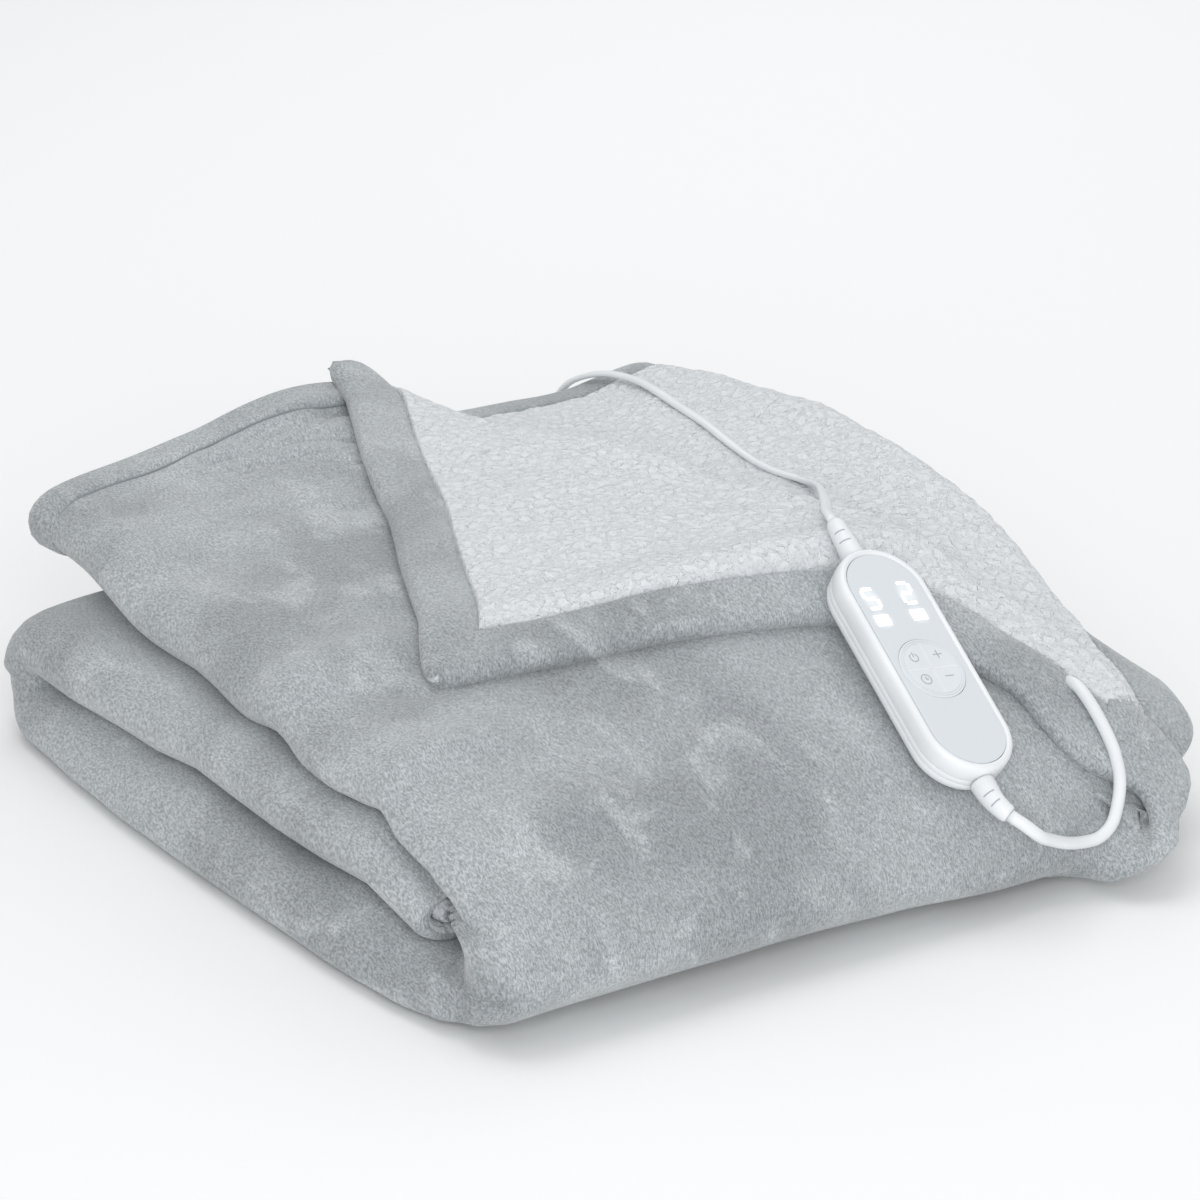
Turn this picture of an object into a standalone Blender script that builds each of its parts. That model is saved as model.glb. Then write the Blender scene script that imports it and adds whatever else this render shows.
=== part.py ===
"""Electric heated throw: a folded cloth of flannel and fleece, with its hand controller and cords.

Metres, +Z up. X runs along the front of the pile and Y runs to its back. The pile rests on z = 0,
with its front left corner near the origin.
"""
import bpy
import bmesh
import math
import numpy as np
from mathutils import Euler, Matrix, Vector

# The cloth: flannel and fleece sewn together, folded to four plies, then in three layers.
PLY = 0.0085
PLY_GAP = 0.0008
LAYER = 4 * PLY + 3 * PLY_GAP
LAYER_GAP = 0.0016
PLY_PITCH = PLY + PLY_GAP
RIM_BULGE = 0.42 * PLY

# Middles of the three layers, bottom, middle and top, before the pile is squashed.
LOW_MID = LAYER / 2
CENTRE_MID = LOW_MID + LAYER + LAYER_GAP
TOP_MID = CENTRE_MID + LAYER + LAYER_GAP
TOP_FLOOR = TOP_MID - LAYER / 2 - LAYER_GAP / 2
LOW_FLOOR = LOW_MID + LAYER / 2 + LAYER_GAP / 2

# Fold radii along the middle of what is folded.
FRONT_RADIUS = (TOP_MID - LOW_MID) / 2
BACK_RADIUS = (CENTRE_MID - LOW_MID) / 2
OUTER_RADIUS = 1.5 * PLY_PITCH
INNER_RADIUS = 0.5 * PLY_PITCH
ROLL_RADIUS = 0.0060
ROLL_LENGTH = math.pi * ROLL_RADIUS

# The turned corner lies down on the ply beneath over this distance from its fold.
LIE_DOWN = 0.03
LIE_DOWN_POWER = 8
LEAST_TURN = 0.5
LEAST_FREE = 0.004

# The pile before it is squashed: depths along Y and the free ends.
FRONT_CENTRE = FRONT_RADIUS + LAYER / 2
NOSE = 0.026
NOSE_REACH = 0.032
LOW_NOSE = 0.010
LEFT_FOOT = 0.008
BACK_OUTER = 0.407 + NOSE
BACK_CENTRE = BACK_OUTER - BACK_RADIUS - LAYER / 2
TUCKED_END = 0.053
FOLD_CENTRE_X = OUTER_RADIUS + PLY / 2
RIGHT_EDGE = 0.382

# The top layer from back to front. hem and crest are the X of the turned corner's edge and of its
# fold, turn is how far the cloth turns over there, and hem_b is the edge of the ply beneath.
TOP_ROWS = (
    # y, hem, crest, turn, hem_b
    (0.432, 0.199, 0.209, 165.0, 0.382),
    (0.412, 0.198, 0.211, 150.0, 0.386),
    (0.378, 0.184, 0.215, 180.0, 0.389),
    (0.340, 0.166, 0.224, 180.0, 0.391),
    (0.300, 0.146, 0.240, 180.0, 0.392),
    (0.258, 0.124, 0.256, 180.0, 0.392),
    (0.212, 0.101, 0.269, 180.0, 0.391),
    (0.164, 0.079, 0.283, 180.0, 0.389),
    (0.117, 0.058, 0.297, 180.0, 0.388),
    (0.104, 0.098, 0.301, 180.0, 0.387),
    (0.090, 0.170, 0.306, 180.0, 0.387),
    (0.077, 0.240, 0.316, 180.0, 0.386),
    (0.062, 0.284, 0.330, 178.0, 0.386),
    (0.046, 0.308, 0.342, 170.0, 0.385),
)

# The front fold from top to bottom, where the turned corner runs out.
FRONT_ROWS = (
    # swing round the fold, hem, crest, turn, hem_b, right
    (90.0, 0.316, 0.338, 130.0, 0.386, 0.382),
    (105.0, 0.318, 0.328, 70.0, 0.387, 0.384),
    (120.0, 0.314, 0.320, 20.0, 0.386, 0.386),
    (138.0, 0.314, 0.326, 0.0, 0.380, 0.387),
    (160.0, 0.324, 0.332, 0.0, 0.374, 0.386),
    (183.0, 0.330, 0.338, 0.0, 0.370, 0.380),
    (208.0, 0.334, 0.342, 0.0, 0.370, 0.374),
    (238.0, 0.340, 0.346, 0.0, 0.374, 0.376),
    (270.0, 0.342, 0.348, 0.0, 0.376, 0.378),
)

# The bottom layer, the back fold and the layer tucked in above it: hem, crest, turn, hem_b, right.
LOW_ROW = (0.366, 0.352, 0.0, 0.384, 0.384)
BACK_ROW = (0.366, 0.352, 0.0, 0.380, 0.384)
TUCKED_ROW = (0.362, 0.348, 0.0, 0.376, 0.380)
LOW_STEPS = 8
BACK_STEPS = 7
TUCKED_STEPS = 8

# How many points the section has on the turned corner, round its fold, along the top ply, round the
# outer fold, along the bottom, round the loop, back inside, round the inner fold, and beneath.
SECTION_STEPS = (6, 5, 9, 7, 6, 5, 6, 5, 8)

# How far the pile is squashed: the height of the cloth as a share of the neat pile's height.
HEIGHT_X = (-0.02, 0.03, 0.10, 0.165, 0.20, 0.23, 0.30, 0.33, 0.36, 0.40)
HEIGHT_ROWS = (
    # y, then the share at each X of HEIGHT_X
    (-0.03, 0.58, 0.59, 0.59, 0.58, 0.57, 0.56, 0.535, 0.53, 0.53, 0.51),
    (0.02, 0.62, 0.66, 0.70, 0.71, 0.71, 0.71, 0.71, 0.68, 0.64, 0.58),
    (0.06, 0.68, 0.76, 0.82, 0.85, 0.86, 0.86, 0.87, 0.80, 0.73, 0.66),
    (0.10, 0.72, 0.84, 0.92, 0.96, 0.97, 0.98, 0.99, 0.94, 0.88, 0.81),
    (0.15, 0.76, 0.87, 0.97, 1.01, 1.02, 1.03, 1.04, 1.03, 1.03, 1.08),
    (0.22, 0.78, 0.89, 0.99, 1.02, 1.02, 1.02, 1.02, 1.06, 1.11, 1.20),
    (0.28, 0.79, 0.89, 0.99, 1.02, 1.03, 1.03, 1.02, 1.07, 1.13, 1.25),
    (0.35, 0.77, 0.87, 1.00, 1.06, 1.05, 1.02, 1.00, 1.03, 1.08, 1.18),
    (0.44, 0.74, 0.83, 1.015, 1.13, 1.08, 0.97, 0.92, 0.90, 0.95, 1.01),
)

# How far the foot of the front fold stands out along the front.
FRONT_FOOT = (
    # x, reach
    (0.00, 0.007),
    (0.16, 0.005),
    (0.24, 0.012),
    (0.31, 0.018),
    (0.35, 0.010),
    (0.375, -0.004),
    (0.39, -0.012),
)

# How far each layer's left side stands off the line of the pile, front to back.
LEFT_SIDES = (
    # y, top, centre and bottom layer
    (-0.01, 0.000, -0.006, -0.010),
    (0.06, 0.000, -0.008, -0.018),
    (0.20, 0.008, -0.010, -0.020),
    (0.32, 0.016, -0.010, -0.014),
    (0.41, 0.024, -0.011, -0.006),
)
LEFT_REACH = (0.0, 0.25)

# Where the squashed front bulges and where its foot stands out, by height, and where the back left
# corner of the top layer stands up, by Y and by X.
BULGE_FROM = (0.0, 0.02)
BULGE_TO = (0.04, 0.10)
FOOT_HEIGHT = (0.01, 0.06)
CORNER_RISE = 0.013
CORNER_BACK = (0.27, 0.42)
CORNER_LEFT = (0.02, 0.12)
LEFT_FOOT_HEIGHT = (0.002, 0.020)
LEFT_FOOT_REACH = (0.0, 0.05)

# The controller: a stadium in plan, lying on the slope of the pile. It is built level, with its
# length along Y and the middle of its underside at the origin, and then placed.
CONTROLLER_PLACE = (0.2519, 0.0283, 0.0884)
CONTROLLER_TURN = (33.1, 7.2, 0.0)
CONTROLLER_LENGTH = 0.1268
CONTROLLER_WIDTH = 0.0467
CONTROLLER_HEIGHT = 0.0188
PARTING = 0.0088
PARTING_GAP = 0.0003
PARTING_STEP = 0.0005
SHELL_ROUND = 0.0032
RIM_ROUND = 0.0022
RIM_WIDTH = 0.0034
FACE_THICK = 0.0026
FACE_SUNK = 0.0007
KEYPAD_Y = -0.0062
KEYPAD_RADIUS = 0.0165
KEYPAD_RAISED = 0.0004
FIT = 0.0003
CORD_HEIGHT = 0.0094
STADIUM_STEPS = 12
BEVEL_STEPS = 3
SAME_HEIGHT = 1e-6
SHARP_ANGLE = 35

# The strain reliefs, moulded on the cords: points of the middle line measured from the end of the
# controller, with the radius there. The first runs towards the mains and the second the other way.
MAINS_RELIEF = (
    # x, y, z, radius
    (0.0000, 0.0003, 0.0000, 0.0056),
    (0.0004, 0.0080, -0.0002, 0.0052),
    (0.0014, 0.0160, -0.0012, 0.0047),
    (0.0030, 0.0240, -0.0028, 0.0041),
)
LEAD_RELIEF = (
    # x, y, z, radius
    (0.0000, -0.0003, 0.0000, 0.0058),
    (0.0001, -0.0060, 0.0001, 0.0054),
    (0.0006, -0.0112, 0.0004, 0.0049),
    (0.0018, -0.0158, 0.0008, 0.0045),
    (0.0038, -0.0195, 0.0011, 0.0042),
)

# The mains cord. Its route is a list of places that it passes: from the strain relief over the
# fold of the turned corner, along the ply beneath, over the back of the pile and down to the coil.
MAINS_RADIUS = 0.0024
MAINS_ROUTE = (
    (0.2660, 0.1080, 0.1408),
    (0.2745, 0.1215, 0.1372),
    (0.2850, 0.1360, 0.1333),
    (0.2975, 0.1540, 0.1290),
    (0.3095, 0.1720, 0.1245),
    (0.3205, 0.1890, 0.1190),
    (0.3280, 0.2055, 0.1146),
    (0.3285, 0.2195, 0.1132),
    (0.3262, 0.2340, 0.1130),
    (0.3262, 0.2500, 0.1134),
    (0.3300, 0.2740, 0.1140),
    (0.3366, 0.3056, 0.1144),
    (0.3434, 0.3405, 0.1132),
    (0.3483, 0.3633, 0.1122),
    (0.3520, 0.3820, 0.1110),
    (0.3535, 0.3990, 0.1093),
    (0.3515, 0.4135, 0.1075),
    (0.3475, 0.4275, 0.1032),
    (0.3437, 0.4400, 0.0955),
    (0.3412, 0.4480, 0.0820),
    (0.3402, 0.4515, 0.0640),
    (0.3398, 0.4505, 0.0460),
    (0.3396, 0.4520, 0.0300),
    (0.3395, 0.4570, 0.0160),
    (0.3395, 0.4660, 0.0070),
    (0.3395, 0.4780, 0.0033),
    (0.3395, 0.4920, 0.0029),
)

# The stored length: one solid of the outer shape of the coil, and the plug that lies by it.
COIL_CENTRE = (0.3045, 0.5095)
COIL_INNER = 0.0232
COIL_OUTER = 0.0368
COIL_BOTTOM = 0.0003
COIL_TOP = 0.0120
COIL_STEPS = 40
COIL_ROUND = 0.0015
PLUG_BACK = (0.2705, 0.5303, 0.0069)
PLUG_HEADING = 210.0
PLUG_SECTIONS = (
    # distance along the plug, width, height
    (0.000, 0.0065, 0.0050),
    (0.010, 0.0080, 0.0062),
    (0.018, 0.0105, 0.0080),
    (0.022, 0.0175, 0.0115),
    (0.026, 0.0205, 0.0130),
    (0.040, 0.0205, 0.0130),
    (0.044, 0.0185, 0.0112),
)
PLUG_SIDES = 20
PLUG_SQUARENESS = 0.7
PIN_LENGTH = 0.0170
PIN_WIDTH = 0.0063
PIN_THICK = 0.0015
PIN_SPACING = 0.0127

# The control lead: out of the controller, round over the front of the pile and in between plies.
LEAD_RADIUS = 0.0029
LEAD_ROUTE = (
    (0.2546, -0.0520, 0.0484),
    (0.2590, -0.0543, 0.0443),
    (0.2643, -0.0538, 0.0401),
    (0.2710, -0.0520, 0.0366),
    (0.2805, -0.0494, 0.0320),
    (0.2890, -0.0475, 0.0291),
    (0.2966, -0.0465, 0.0277),
    (0.3040, -0.0460, 0.0276),
    (0.3148, -0.0441, 0.0310),
    (0.3248, -0.0390, 0.0367),
    (0.3325, -0.0321, 0.0446),
    (0.3358, -0.0253, 0.0502),
    (0.3362, -0.0195, 0.0553),
    (0.3356, -0.0088, 0.0640),
    (0.3339, -0.0004, 0.0705),
    (0.3322, 0.0083, 0.0752),
    (0.3315, 0.0124, 0.0768),
)
CORD_SPACING = 2.2
CORD_START = 0.0030
ROUTE_FINENESS = 40

# Where the middle of the pile's footprint lies, which is the part's origin.
PILE_MIDDLE = (0.1860, 0.1959, 0.0)


def clear_scene():
    """Remove every object, so that the file holds only this part."""
    for thing in list(bpy.data.objects):
        bpy.data.objects.remove(thing, do_unlink=True)


def new_collection(name):
    """Add a collection to the scene."""
    group = bpy.data.collections.new(name)
    bpy.context.scene.collection.children.link(group)
    return group


def material(name, colour, roughness, metallic=0.0):
    """Make a Principled material."""
    surface = bpy.data.materials.new(name)
    surface.use_nodes = True
    shader = surface.node_tree.nodes["Principled BSDF"]
    shader.inputs["Base Color"].default_value = (*colour, 1.0)
    shader.inputs["Roughness"].default_value = roughness
    shader.inputs["Metallic"].default_value = metallic
    surface.diffuse_color = (*colour, 1.0)
    return surface


def smooth(stations, values, at):
    """Read a smooth curve through hand-set values, which never overshoots them."""
    stations = np.asarray(stations, float)
    values = np.asarray(values, float)
    at = np.clip(np.asarray(at, float), stations[0], stations[-1])
    if values.ndim == 1:
        values = values.reshape((-1,) + (1,) * at.ndim)
    values = np.broadcast_to(values, (len(stations),) + at.shape)
    widths = np.diff(stations).reshape((-1,) + (1,) * at.ndim)
    rises = np.diff(values, axis=0) / widths
    slopes = np.zeros_like(values)
    slopes[0] = rises[0]
    slopes[-1] = rises[-1]
    before = rises[:-1]
    after = rises[1:]
    climbing = before * after > 0
    total = np.where(climbing, before + after, 1.0)
    slopes[1:-1] = np.where(climbing, 2 * before * after / total, 0.0)
    index = np.clip(np.searchsorted(stations, at, side="right") - 1, 0, len(stations) - 2)
    width = stations[index + 1] - stations[index]
    part = (at - stations[index]) / width
    low = np.take_along_axis(values, index[None], 0)[0]
    high = np.take_along_axis(values, index[None] + 1, 0)[0]
    low_slope = np.take_along_axis(slopes, index[None], 0)[0] * width
    high_slope = np.take_along_axis(slopes, index[None] + 1, 0)[0] * width
    rest = 1 - part
    result = low * (1 + 2 * part) * rest ** 2 + low_slope * part * rest ** 2
    return result + high * part ** 2 * (3 - 2 * part) - high_slope * part ** 2 * rest


def ramp(value, start, end):
    """Go smoothly from 0 at start to 1 at end."""
    part = np.clip((value - start) / (end - start), 0.0, 1.0)
    return part * part * (3 - 2 * part)


def ply_section(hem, crest, turn, hem_b, right):
    """Give the cloth's middle line across one row, from the turned corner's edge to the ply beneath.

    Each point is (x, height in the layer). The cloth runs over the crest, left along the top ply,
    round the outer fold, right along the bottom, and back and forth once more inside.
    """
    turned, roll, along_top, outer, under, loop, inside, inner, beneath = SECTION_STEPS
    top = LAYER - PLY / 2
    angle = math.radians(max(turn, LEAST_TURN))
    bend = ROLL_LENGTH / angle
    free = max(crest - hem, LEAST_FREE)
    dip = (2 * ROLL_RADIUS - PLY_PITCH) * math.sin(angle / 2) ** (2 * LIE_DOWN_POWER)
    points = []
    for part in np.linspace(1.0, 0.0, turned)[:-1]:
        out = free * part
        x = crest + bend * math.sin(angle) + out * math.cos(angle)
        height = top + bend * (1 - math.cos(angle)) + out * math.sin(angle)
        points.append((x, height - dip * (1 - math.exp(-out / LIE_DOWN))))
    for part in np.linspace(1.0, 0.0, roll)[:-1]:
        x = crest + bend * math.sin(angle * part)
        points.append((x, top + bend * (1 - math.cos(angle * part))))
    for x in np.linspace(crest, FOLD_CENTRE_X, along_top)[:-1]:
        points.append((x, top))
    for step in np.linspace(90, 270, outer)[:-1]:
        swing = math.radians(step)
        x = FOLD_CENTRE_X + OUTER_RADIUS * math.cos(swing)
        points.append((x, LAYER / 2 + OUTER_RADIUS * math.sin(swing)))
    for x in np.linspace(FOLD_CENTRE_X, right - INNER_RADIUS, under)[:-1]:
        points.append((x, PLY / 2))
    for step in np.linspace(-90, 90, loop)[:-1]:
        swing = math.radians(step)
        x = right - INNER_RADIUS + INNER_RADIUS * math.cos(swing)
        points.append((x, PLY / 2 + INNER_RADIUS + INNER_RADIUS * math.sin(swing)))
    for x in np.linspace(right - INNER_RADIUS, FOLD_CENTRE_X, inside)[:-1]:
        points.append((x, PLY / 2 + PLY_PITCH))
    for step in np.linspace(270, 90, inner)[:-1]:
        swing = math.radians(step)
        x = FOLD_CENTRE_X + INNER_RADIUS * math.cos(swing)
        points.append((x, LAYER / 2 + INNER_RADIUS * math.sin(swing)))
    for x in np.linspace(FOLD_CENTRE_X, hem_b, beneath):
        points.append((x, PLY / 2 + 2 * PLY_PITCH))
    return np.array(points)


def section_normals(points):
    """Give the flannel side's direction at each point of a section."""
    along = np.gradient(points, axis=0)
    along[0] = points[1] - points[0]
    along[-1] = points[-1] - points[-2]
    along /= np.linalg.norm(along, axis=1)[:, None]
    return np.stack([along[:, 1], -along[:, 0]], axis=1)


def pile_rows():
    """List the rows along the fold: the middle of the layer, its upward side and the section."""
    rows = []
    for y, hem, crest, turn, hem_b in TOP_ROWS:
        section = ply_section(hem, crest, turn, hem_b, RIGHT_EDGE)
        rows.append((y + NOSE, TOP_MID, 0.0, 1.0, section))
    for step, hem, crest, turn, hem_b, right in FRONT_ROWS:
        swing = math.radians(step)
        y = FRONT_CENTRE + FRONT_RADIUS * math.cos(swing)
        height = CENTRE_MID + FRONT_RADIUS * math.sin(swing)
        section = ply_section(hem, crest, turn, hem_b, right)
        rows.append((y, height, math.cos(swing), math.sin(swing), section))
    for y in np.linspace(FRONT_CENTRE, BACK_CENTRE, LOW_STEPS)[1:-1]:
        section = ply_section(*LOW_ROW)
        rows.append((y, LOW_MID, 0.0, -1.0, section))
    for step in np.linspace(-90, 90, BACK_STEPS):
        swing = math.radians(step)
        y = BACK_CENTRE + BACK_RADIUS * math.cos(swing)
        height = LOW_MID + BACK_RADIUS + BACK_RADIUS * math.sin(swing)
        section = ply_section(*BACK_ROW)
        rows.append((y, height, math.cos(swing), math.sin(swing), section))
    for y in np.linspace(BACK_CENTRE, TUCKED_END, TUCKED_STEPS)[1:]:
        section = ply_section(*TUCKED_ROW)
        rows.append((y, CENTRE_MID, 0.0, 1.0, section))
    return rows


def squash(points):
    """Give the neat pile its uneven heights, its blunt front and its slanted edges."""
    x = points[:, 0].copy()
    y = points[:, 1].copy()
    z = points[:, 2].copy()
    in_top = z > TOP_FLOOR
    in_low = z < LOW_FLOOR
    front = np.clip(1 - y / FRONT_CENTRE, 0.0, 1.0)
    blunt = FRONT_CENTRE - NOSE + NOSE_REACH
    y = np.where(y < FRONT_CENTRE, y * blunt / FRONT_CENTRE - NOSE_REACH, y - NOSE)
    y = y - LOW_NOSE * front * ramp(z, *BULGE_FROM) * (1 - ramp(z, *BULGE_TO))
    foot = smooth([row[0] for row in FRONT_FOOT], [row[1] for row in FRONT_FOOT], x)
    y = y - foot * front * (1 - ramp(z, *FOOT_HEIGHT))
    stations = [row[0] for row in HEIGHT_ROWS]
    shares = [smooth(HEIGHT_X, row[1:], x) for row in HEIGHT_ROWS]
    z = z * smooth(stations, shares, y)
    corner = ramp(y, *CORNER_BACK) * (1 - ramp(x, *CORNER_LEFT))
    z = z + np.where(in_top, CORNER_RISE * corner, 0.0)
    stations = [row[0] for row in LEFT_SIDES]
    top, centre, low = [smooth(stations, [row[k] for row in LEFT_SIDES], y) for k in (1, 2, 3)]
    x = x + np.where(in_top, top, np.where(in_low, low, centre)) * (1 - ramp(x, *LEFT_REACH))
    x = x - LEFT_FOOT * (1 - ramp(z, *LEFT_FOOT_HEIGHT)) * (1 - ramp(x, *LEFT_FOOT_REACH))
    return np.stack([x, y, np.maximum(z, 0.0)], axis=1)


def unit(vectors):
    """Scale each vector to length 1."""
    return vectors / np.linalg.norm(vectors, axis=-1, keepdims=True)


def throw_mesh(name):
    """Loft the cloth's section along the fold, closed at its hems and its two ends."""
    rows = pile_rows()
    count = len(rows[0][4])
    flannel = []
    fleece = []
    middle = []
    for y, height, side_y, side_z, section in rows:
        normals = section_normals(section)
        for store, shift in ((flannel, PLY / 2), (fleece, -PLY / 2), (middle, 0.0)):
            moved = section + normals * shift
            out = moved[:, 1] - LAYER / 2
            store.append(np.stack([moved[:, 0], y + side_y * out, height + side_z * out], axis=1))
    flannel = np.array(flannel)
    fleece = np.array(fleece)
    middle = np.array(middle)
    first_rim = middle[:, 0] + RIM_BULGE * unit(middle[:, 0] - middle[:, 1])
    last_rim = middle[:, -1] + RIM_BULGE * unit(middle[:, -1] - middle[:, -2])
    back_end = middle[0] + RIM_BULGE * unit(middle[0] - middle[1])
    tucked_end = middle[-1] + RIM_BULGE * unit(middle[-1] - middle[-2])
    row_count = len(rows)
    points = np.concatenate([flannel.reshape(-1, 3), fleece.reshape(-1, 3), first_rim, last_rim,
                             back_end, tucked_end])
    fleece_start = row_count * count
    first_start = 2 * row_count * count
    last_start = first_start + row_count
    ends_start = last_start + row_count

    def side(start, row):
        line = [start + row * count + k for k in range(count)]
        return [first_start + row] + line + [last_start + row]

    faces = []
    for row in range(row_count - 1):
        upper = side(0, row)
        upper_next = side(0, row + 1)
        lower = side(fleece_start, row)
        lower_next = side(fleece_start, row + 1)
        for k in range(count + 1):
            faces.append((upper[k], upper[k + 1], upper_next[k + 1], upper_next[k]))
            faces.append((lower[k], lower_next[k], lower_next[k + 1], lower[k + 1]))
    for row, start, turn in ((0, ends_start, 1), (row_count - 1, ends_start + count, -1)):
        upper = side(0, row)
        lower = side(fleece_start, row)
        edge = [upper[0]] + [start + k for k in range(count)] + [upper[-1]]
        for k in range(count + 1):
            for first, second in ((edge, upper), (lower, edge)):
                face = []
                for vertex in (first[k], first[k + 1], second[k + 1], second[k]):
                    if vertex not in face:
                        face.append(vertex)
                if len(face) > 2:
                    faces.append(tuple(face[::turn]))
    mesh = bpy.data.meshes.new(name)
    mesh.from_pydata([tuple(point) for point in squash(points)], [], faces)
    mesh.validate()
    mesh.update()
    return mesh


def add_throw(group, pile):
    """Add the folded cloth."""
    mesh = throw_mesh("throw_cloth")
    cloth = material("grey_flannel", (0.46, 0.49, 0.50), 0.95)
    add_mesh(group, "throw_cloth", mesh, cloth, pile)
    mesh.shade_smooth()


def stadium(name, length, width, low, high, bevels=()):
    """Make a stadium prism along Y, with each (height, width) of bevels rounding its rim there."""
    radius = width / 2
    reach = length / 2 - radius
    outline = []
    for step in np.linspace(0, 180, STADIUM_STEPS + 1):
        swing = math.radians(step)
        outline.append((radius * math.cos(swing), reach + radius * math.sin(swing)))
    for step in np.linspace(180, 360, STADIUM_STEPS + 1):
        swing = math.radians(step)
        outline.append((radius * math.cos(swing), -reach + radius * math.sin(swing)))
    shape = bmesh.new()
    base = shape.faces.new([shape.verts.new((x, y, low)) for x, y in outline])
    raised = bmesh.ops.extrude_face_region(shape, geom=[base])
    top = [item for item in raised["geom"] if isinstance(item, bmesh.types.BMVert)]
    bmesh.ops.translate(shape, verts=top, vec=(0, 0, high - low))
    bmesh.ops.recalc_face_normals(shape, faces=shape.faces)
    for height, size in bevels:
        rim = []
        for edge in shape.edges:
            if all(abs(vertex.co.z - height) < SAME_HEIGHT for vertex in edge.verts):
                rim.append(edge)
        bmesh.ops.bevel(shape, geom=rim, offset=size, segments=BEVEL_STEPS, profile=0.5,
                        affect="EDGES")
    mesh = bpy.data.meshes.new(name)
    shape.to_mesh(mesh)
    shape.free()
    mesh.shade_smooth()
    mesh.set_sharp_from_angle(angle=math.radians(SHARP_ANGLE))
    return mesh


def add_mesh(group, name, mesh, surface, parent):
    """Put a mesh in a collection as one named object."""
    thing = bpy.data.objects.new(name, mesh)
    group.objects.link(thing)
    mesh.materials.append(surface)
    thing.parent = parent
    return thing


def cut(thing, cutter):
    """Subtract one object from another."""
    modifier = thing.modifiers.new("cut_" + cutter.name, "BOOLEAN")
    modifier.operation = "DIFFERENCE"
    modifier.object = cutter
    modifier.solver = "EXACT"
    cutter.hide_render = True
    cutter.display_type = "WIRE"


def disc(name, radius, low, high):
    """Make an upright disc centred on the keypad."""
    shape = bmesh.new()
    bmesh.ops.create_cone(shape, cap_ends=True, segments=32, radius1=radius, radius2=radius,
                          depth=high - low)
    bmesh.ops.translate(shape, verts=shape.verts, vec=(0, KEYPAD_Y, (low + high) / 2))
    mesh = bpy.data.meshes.new(name)
    shape.to_mesh(mesh)
    shape.free()
    mesh.shade_smooth()
    mesh.set_sharp_from_angle(angle=math.radians(SHARP_ANGLE))
    return mesh


def add_controller(group, cutters, place):
    """Add the hand controller: two shells, the face panel and the round keypad."""
    white = material("controller_white", (0.86, 0.88, 0.89), 0.32)
    panel = material("face_grey", (0.72, 0.76, 0.79), 0.38)
    keys = material("keypad_grey", (0.70, 0.74, 0.77), 0.45)
    length = CONTROLLER_LENGTH
    width = CONTROLLER_WIDTH
    face_top = CONTROLLER_HEIGHT - FACE_SUNK
    face_floor = face_top - FACE_THICK
    base = stadium("controller_base", length - 2 * PARTING_STEP, width - 2 * PARTING_STEP, 0.0,
                   PARTING, [(0.0, SHELL_ROUND)])
    add_mesh(group, "controller_base", base, white, place)
    cover = stadium("controller_cover", length, width, PARTING + PARTING_GAP, CONTROLLER_HEIGHT,
                    [(CONTROLLER_HEIGHT, RIM_ROUND)])
    shell = add_mesh(group, "controller_cover", cover, white, place)
    inner = 2 * RIM_WIDTH
    pocket = stadium("face_pocket", length - inner, width - inner, face_floor - FIT,
                     CONTROLLER_HEIGHT + FACE_THICK)
    cut(shell, add_mesh(cutters, "face_pocket", pocket, white, place))
    face = stadium("controller_face", length - inner - 2 * FIT, width - inner - 2 * FIT, face_floor,
                   face_top)
    plate = add_mesh(group, "controller_face", face, panel, place)
    hole = disc("keypad_hole", KEYPAD_RADIUS + FIT, face_floor - FACE_THICK, face_top + FACE_THICK)
    cut(plate, add_mesh(cutters, "keypad_hole", hole, white, place))
    keypad = disc("controller_keypad", KEYPAD_RADIUS, face_floor, face_top + KEYPAD_RAISED)
    add_mesh(group, "controller_keypad", keypad, keys, place)


def smooth_route(places, spacing):
    """Pass a smooth curve through a route's places and step along it evenly."""
    route = np.array(places)
    steps = np.sqrt(np.linalg.norm(np.diff(route, axis=0), axis=1))
    stations = np.concatenate([[0.0], np.cumsum(steps)])
    slopes = np.gradient(route, stations, axis=0)
    fine = np.linspace(0.0, stations[-1], ROUTE_FINENESS * len(route))
    index = np.clip(np.searchsorted(stations, fine, side="right") - 1, 0, len(stations) - 2)
    width = (stations[index + 1] - stations[index])[:, None]
    part = (fine - stations[index])[:, None] / width
    rest = 1 - part
    curve = route[index] * (1 + 2 * part) * rest ** 2 + slopes[index] * width * part * rest ** 2
    curve += route[index + 1] * part ** 2 * (3 - 2 * part)
    curve -= slopes[index + 1] * width * part ** 2 * rest
    lengths = np.linalg.norm(np.diff(curve, axis=0), axis=1)
    travelled = np.concatenate([[0.0], np.cumsum(lengths)])
    at = np.linspace(0.0, travelled[-1], round(travelled[-1] / spacing) + 1)
    return np.stack([np.interp(at, travelled, curve[:, axis]) for axis in range(3)], axis=1)


def tube(group, name, places, radii, surface, parent):
    """Add a round tube along a line of places, with a radius at each."""
    path = bpy.data.curves.new(name, "CURVE")
    path.dimensions = "3D"
    path.bevel_depth = radii[0]
    path.bevel_resolution = 2
    path.use_fill_caps = True
    line = path.splines.new("POLY")
    line.points.add(len(places) - 1)
    for point, place, radius in zip(line.points, places, radii):
        point.co = (*place, 1.0)
        point.radius = radius / radii[0]
    thing = bpy.data.objects.new(name, path)
    group.objects.link(thing)
    path.materials.append(surface)
    thing.parent = parent
    return thing


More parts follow.
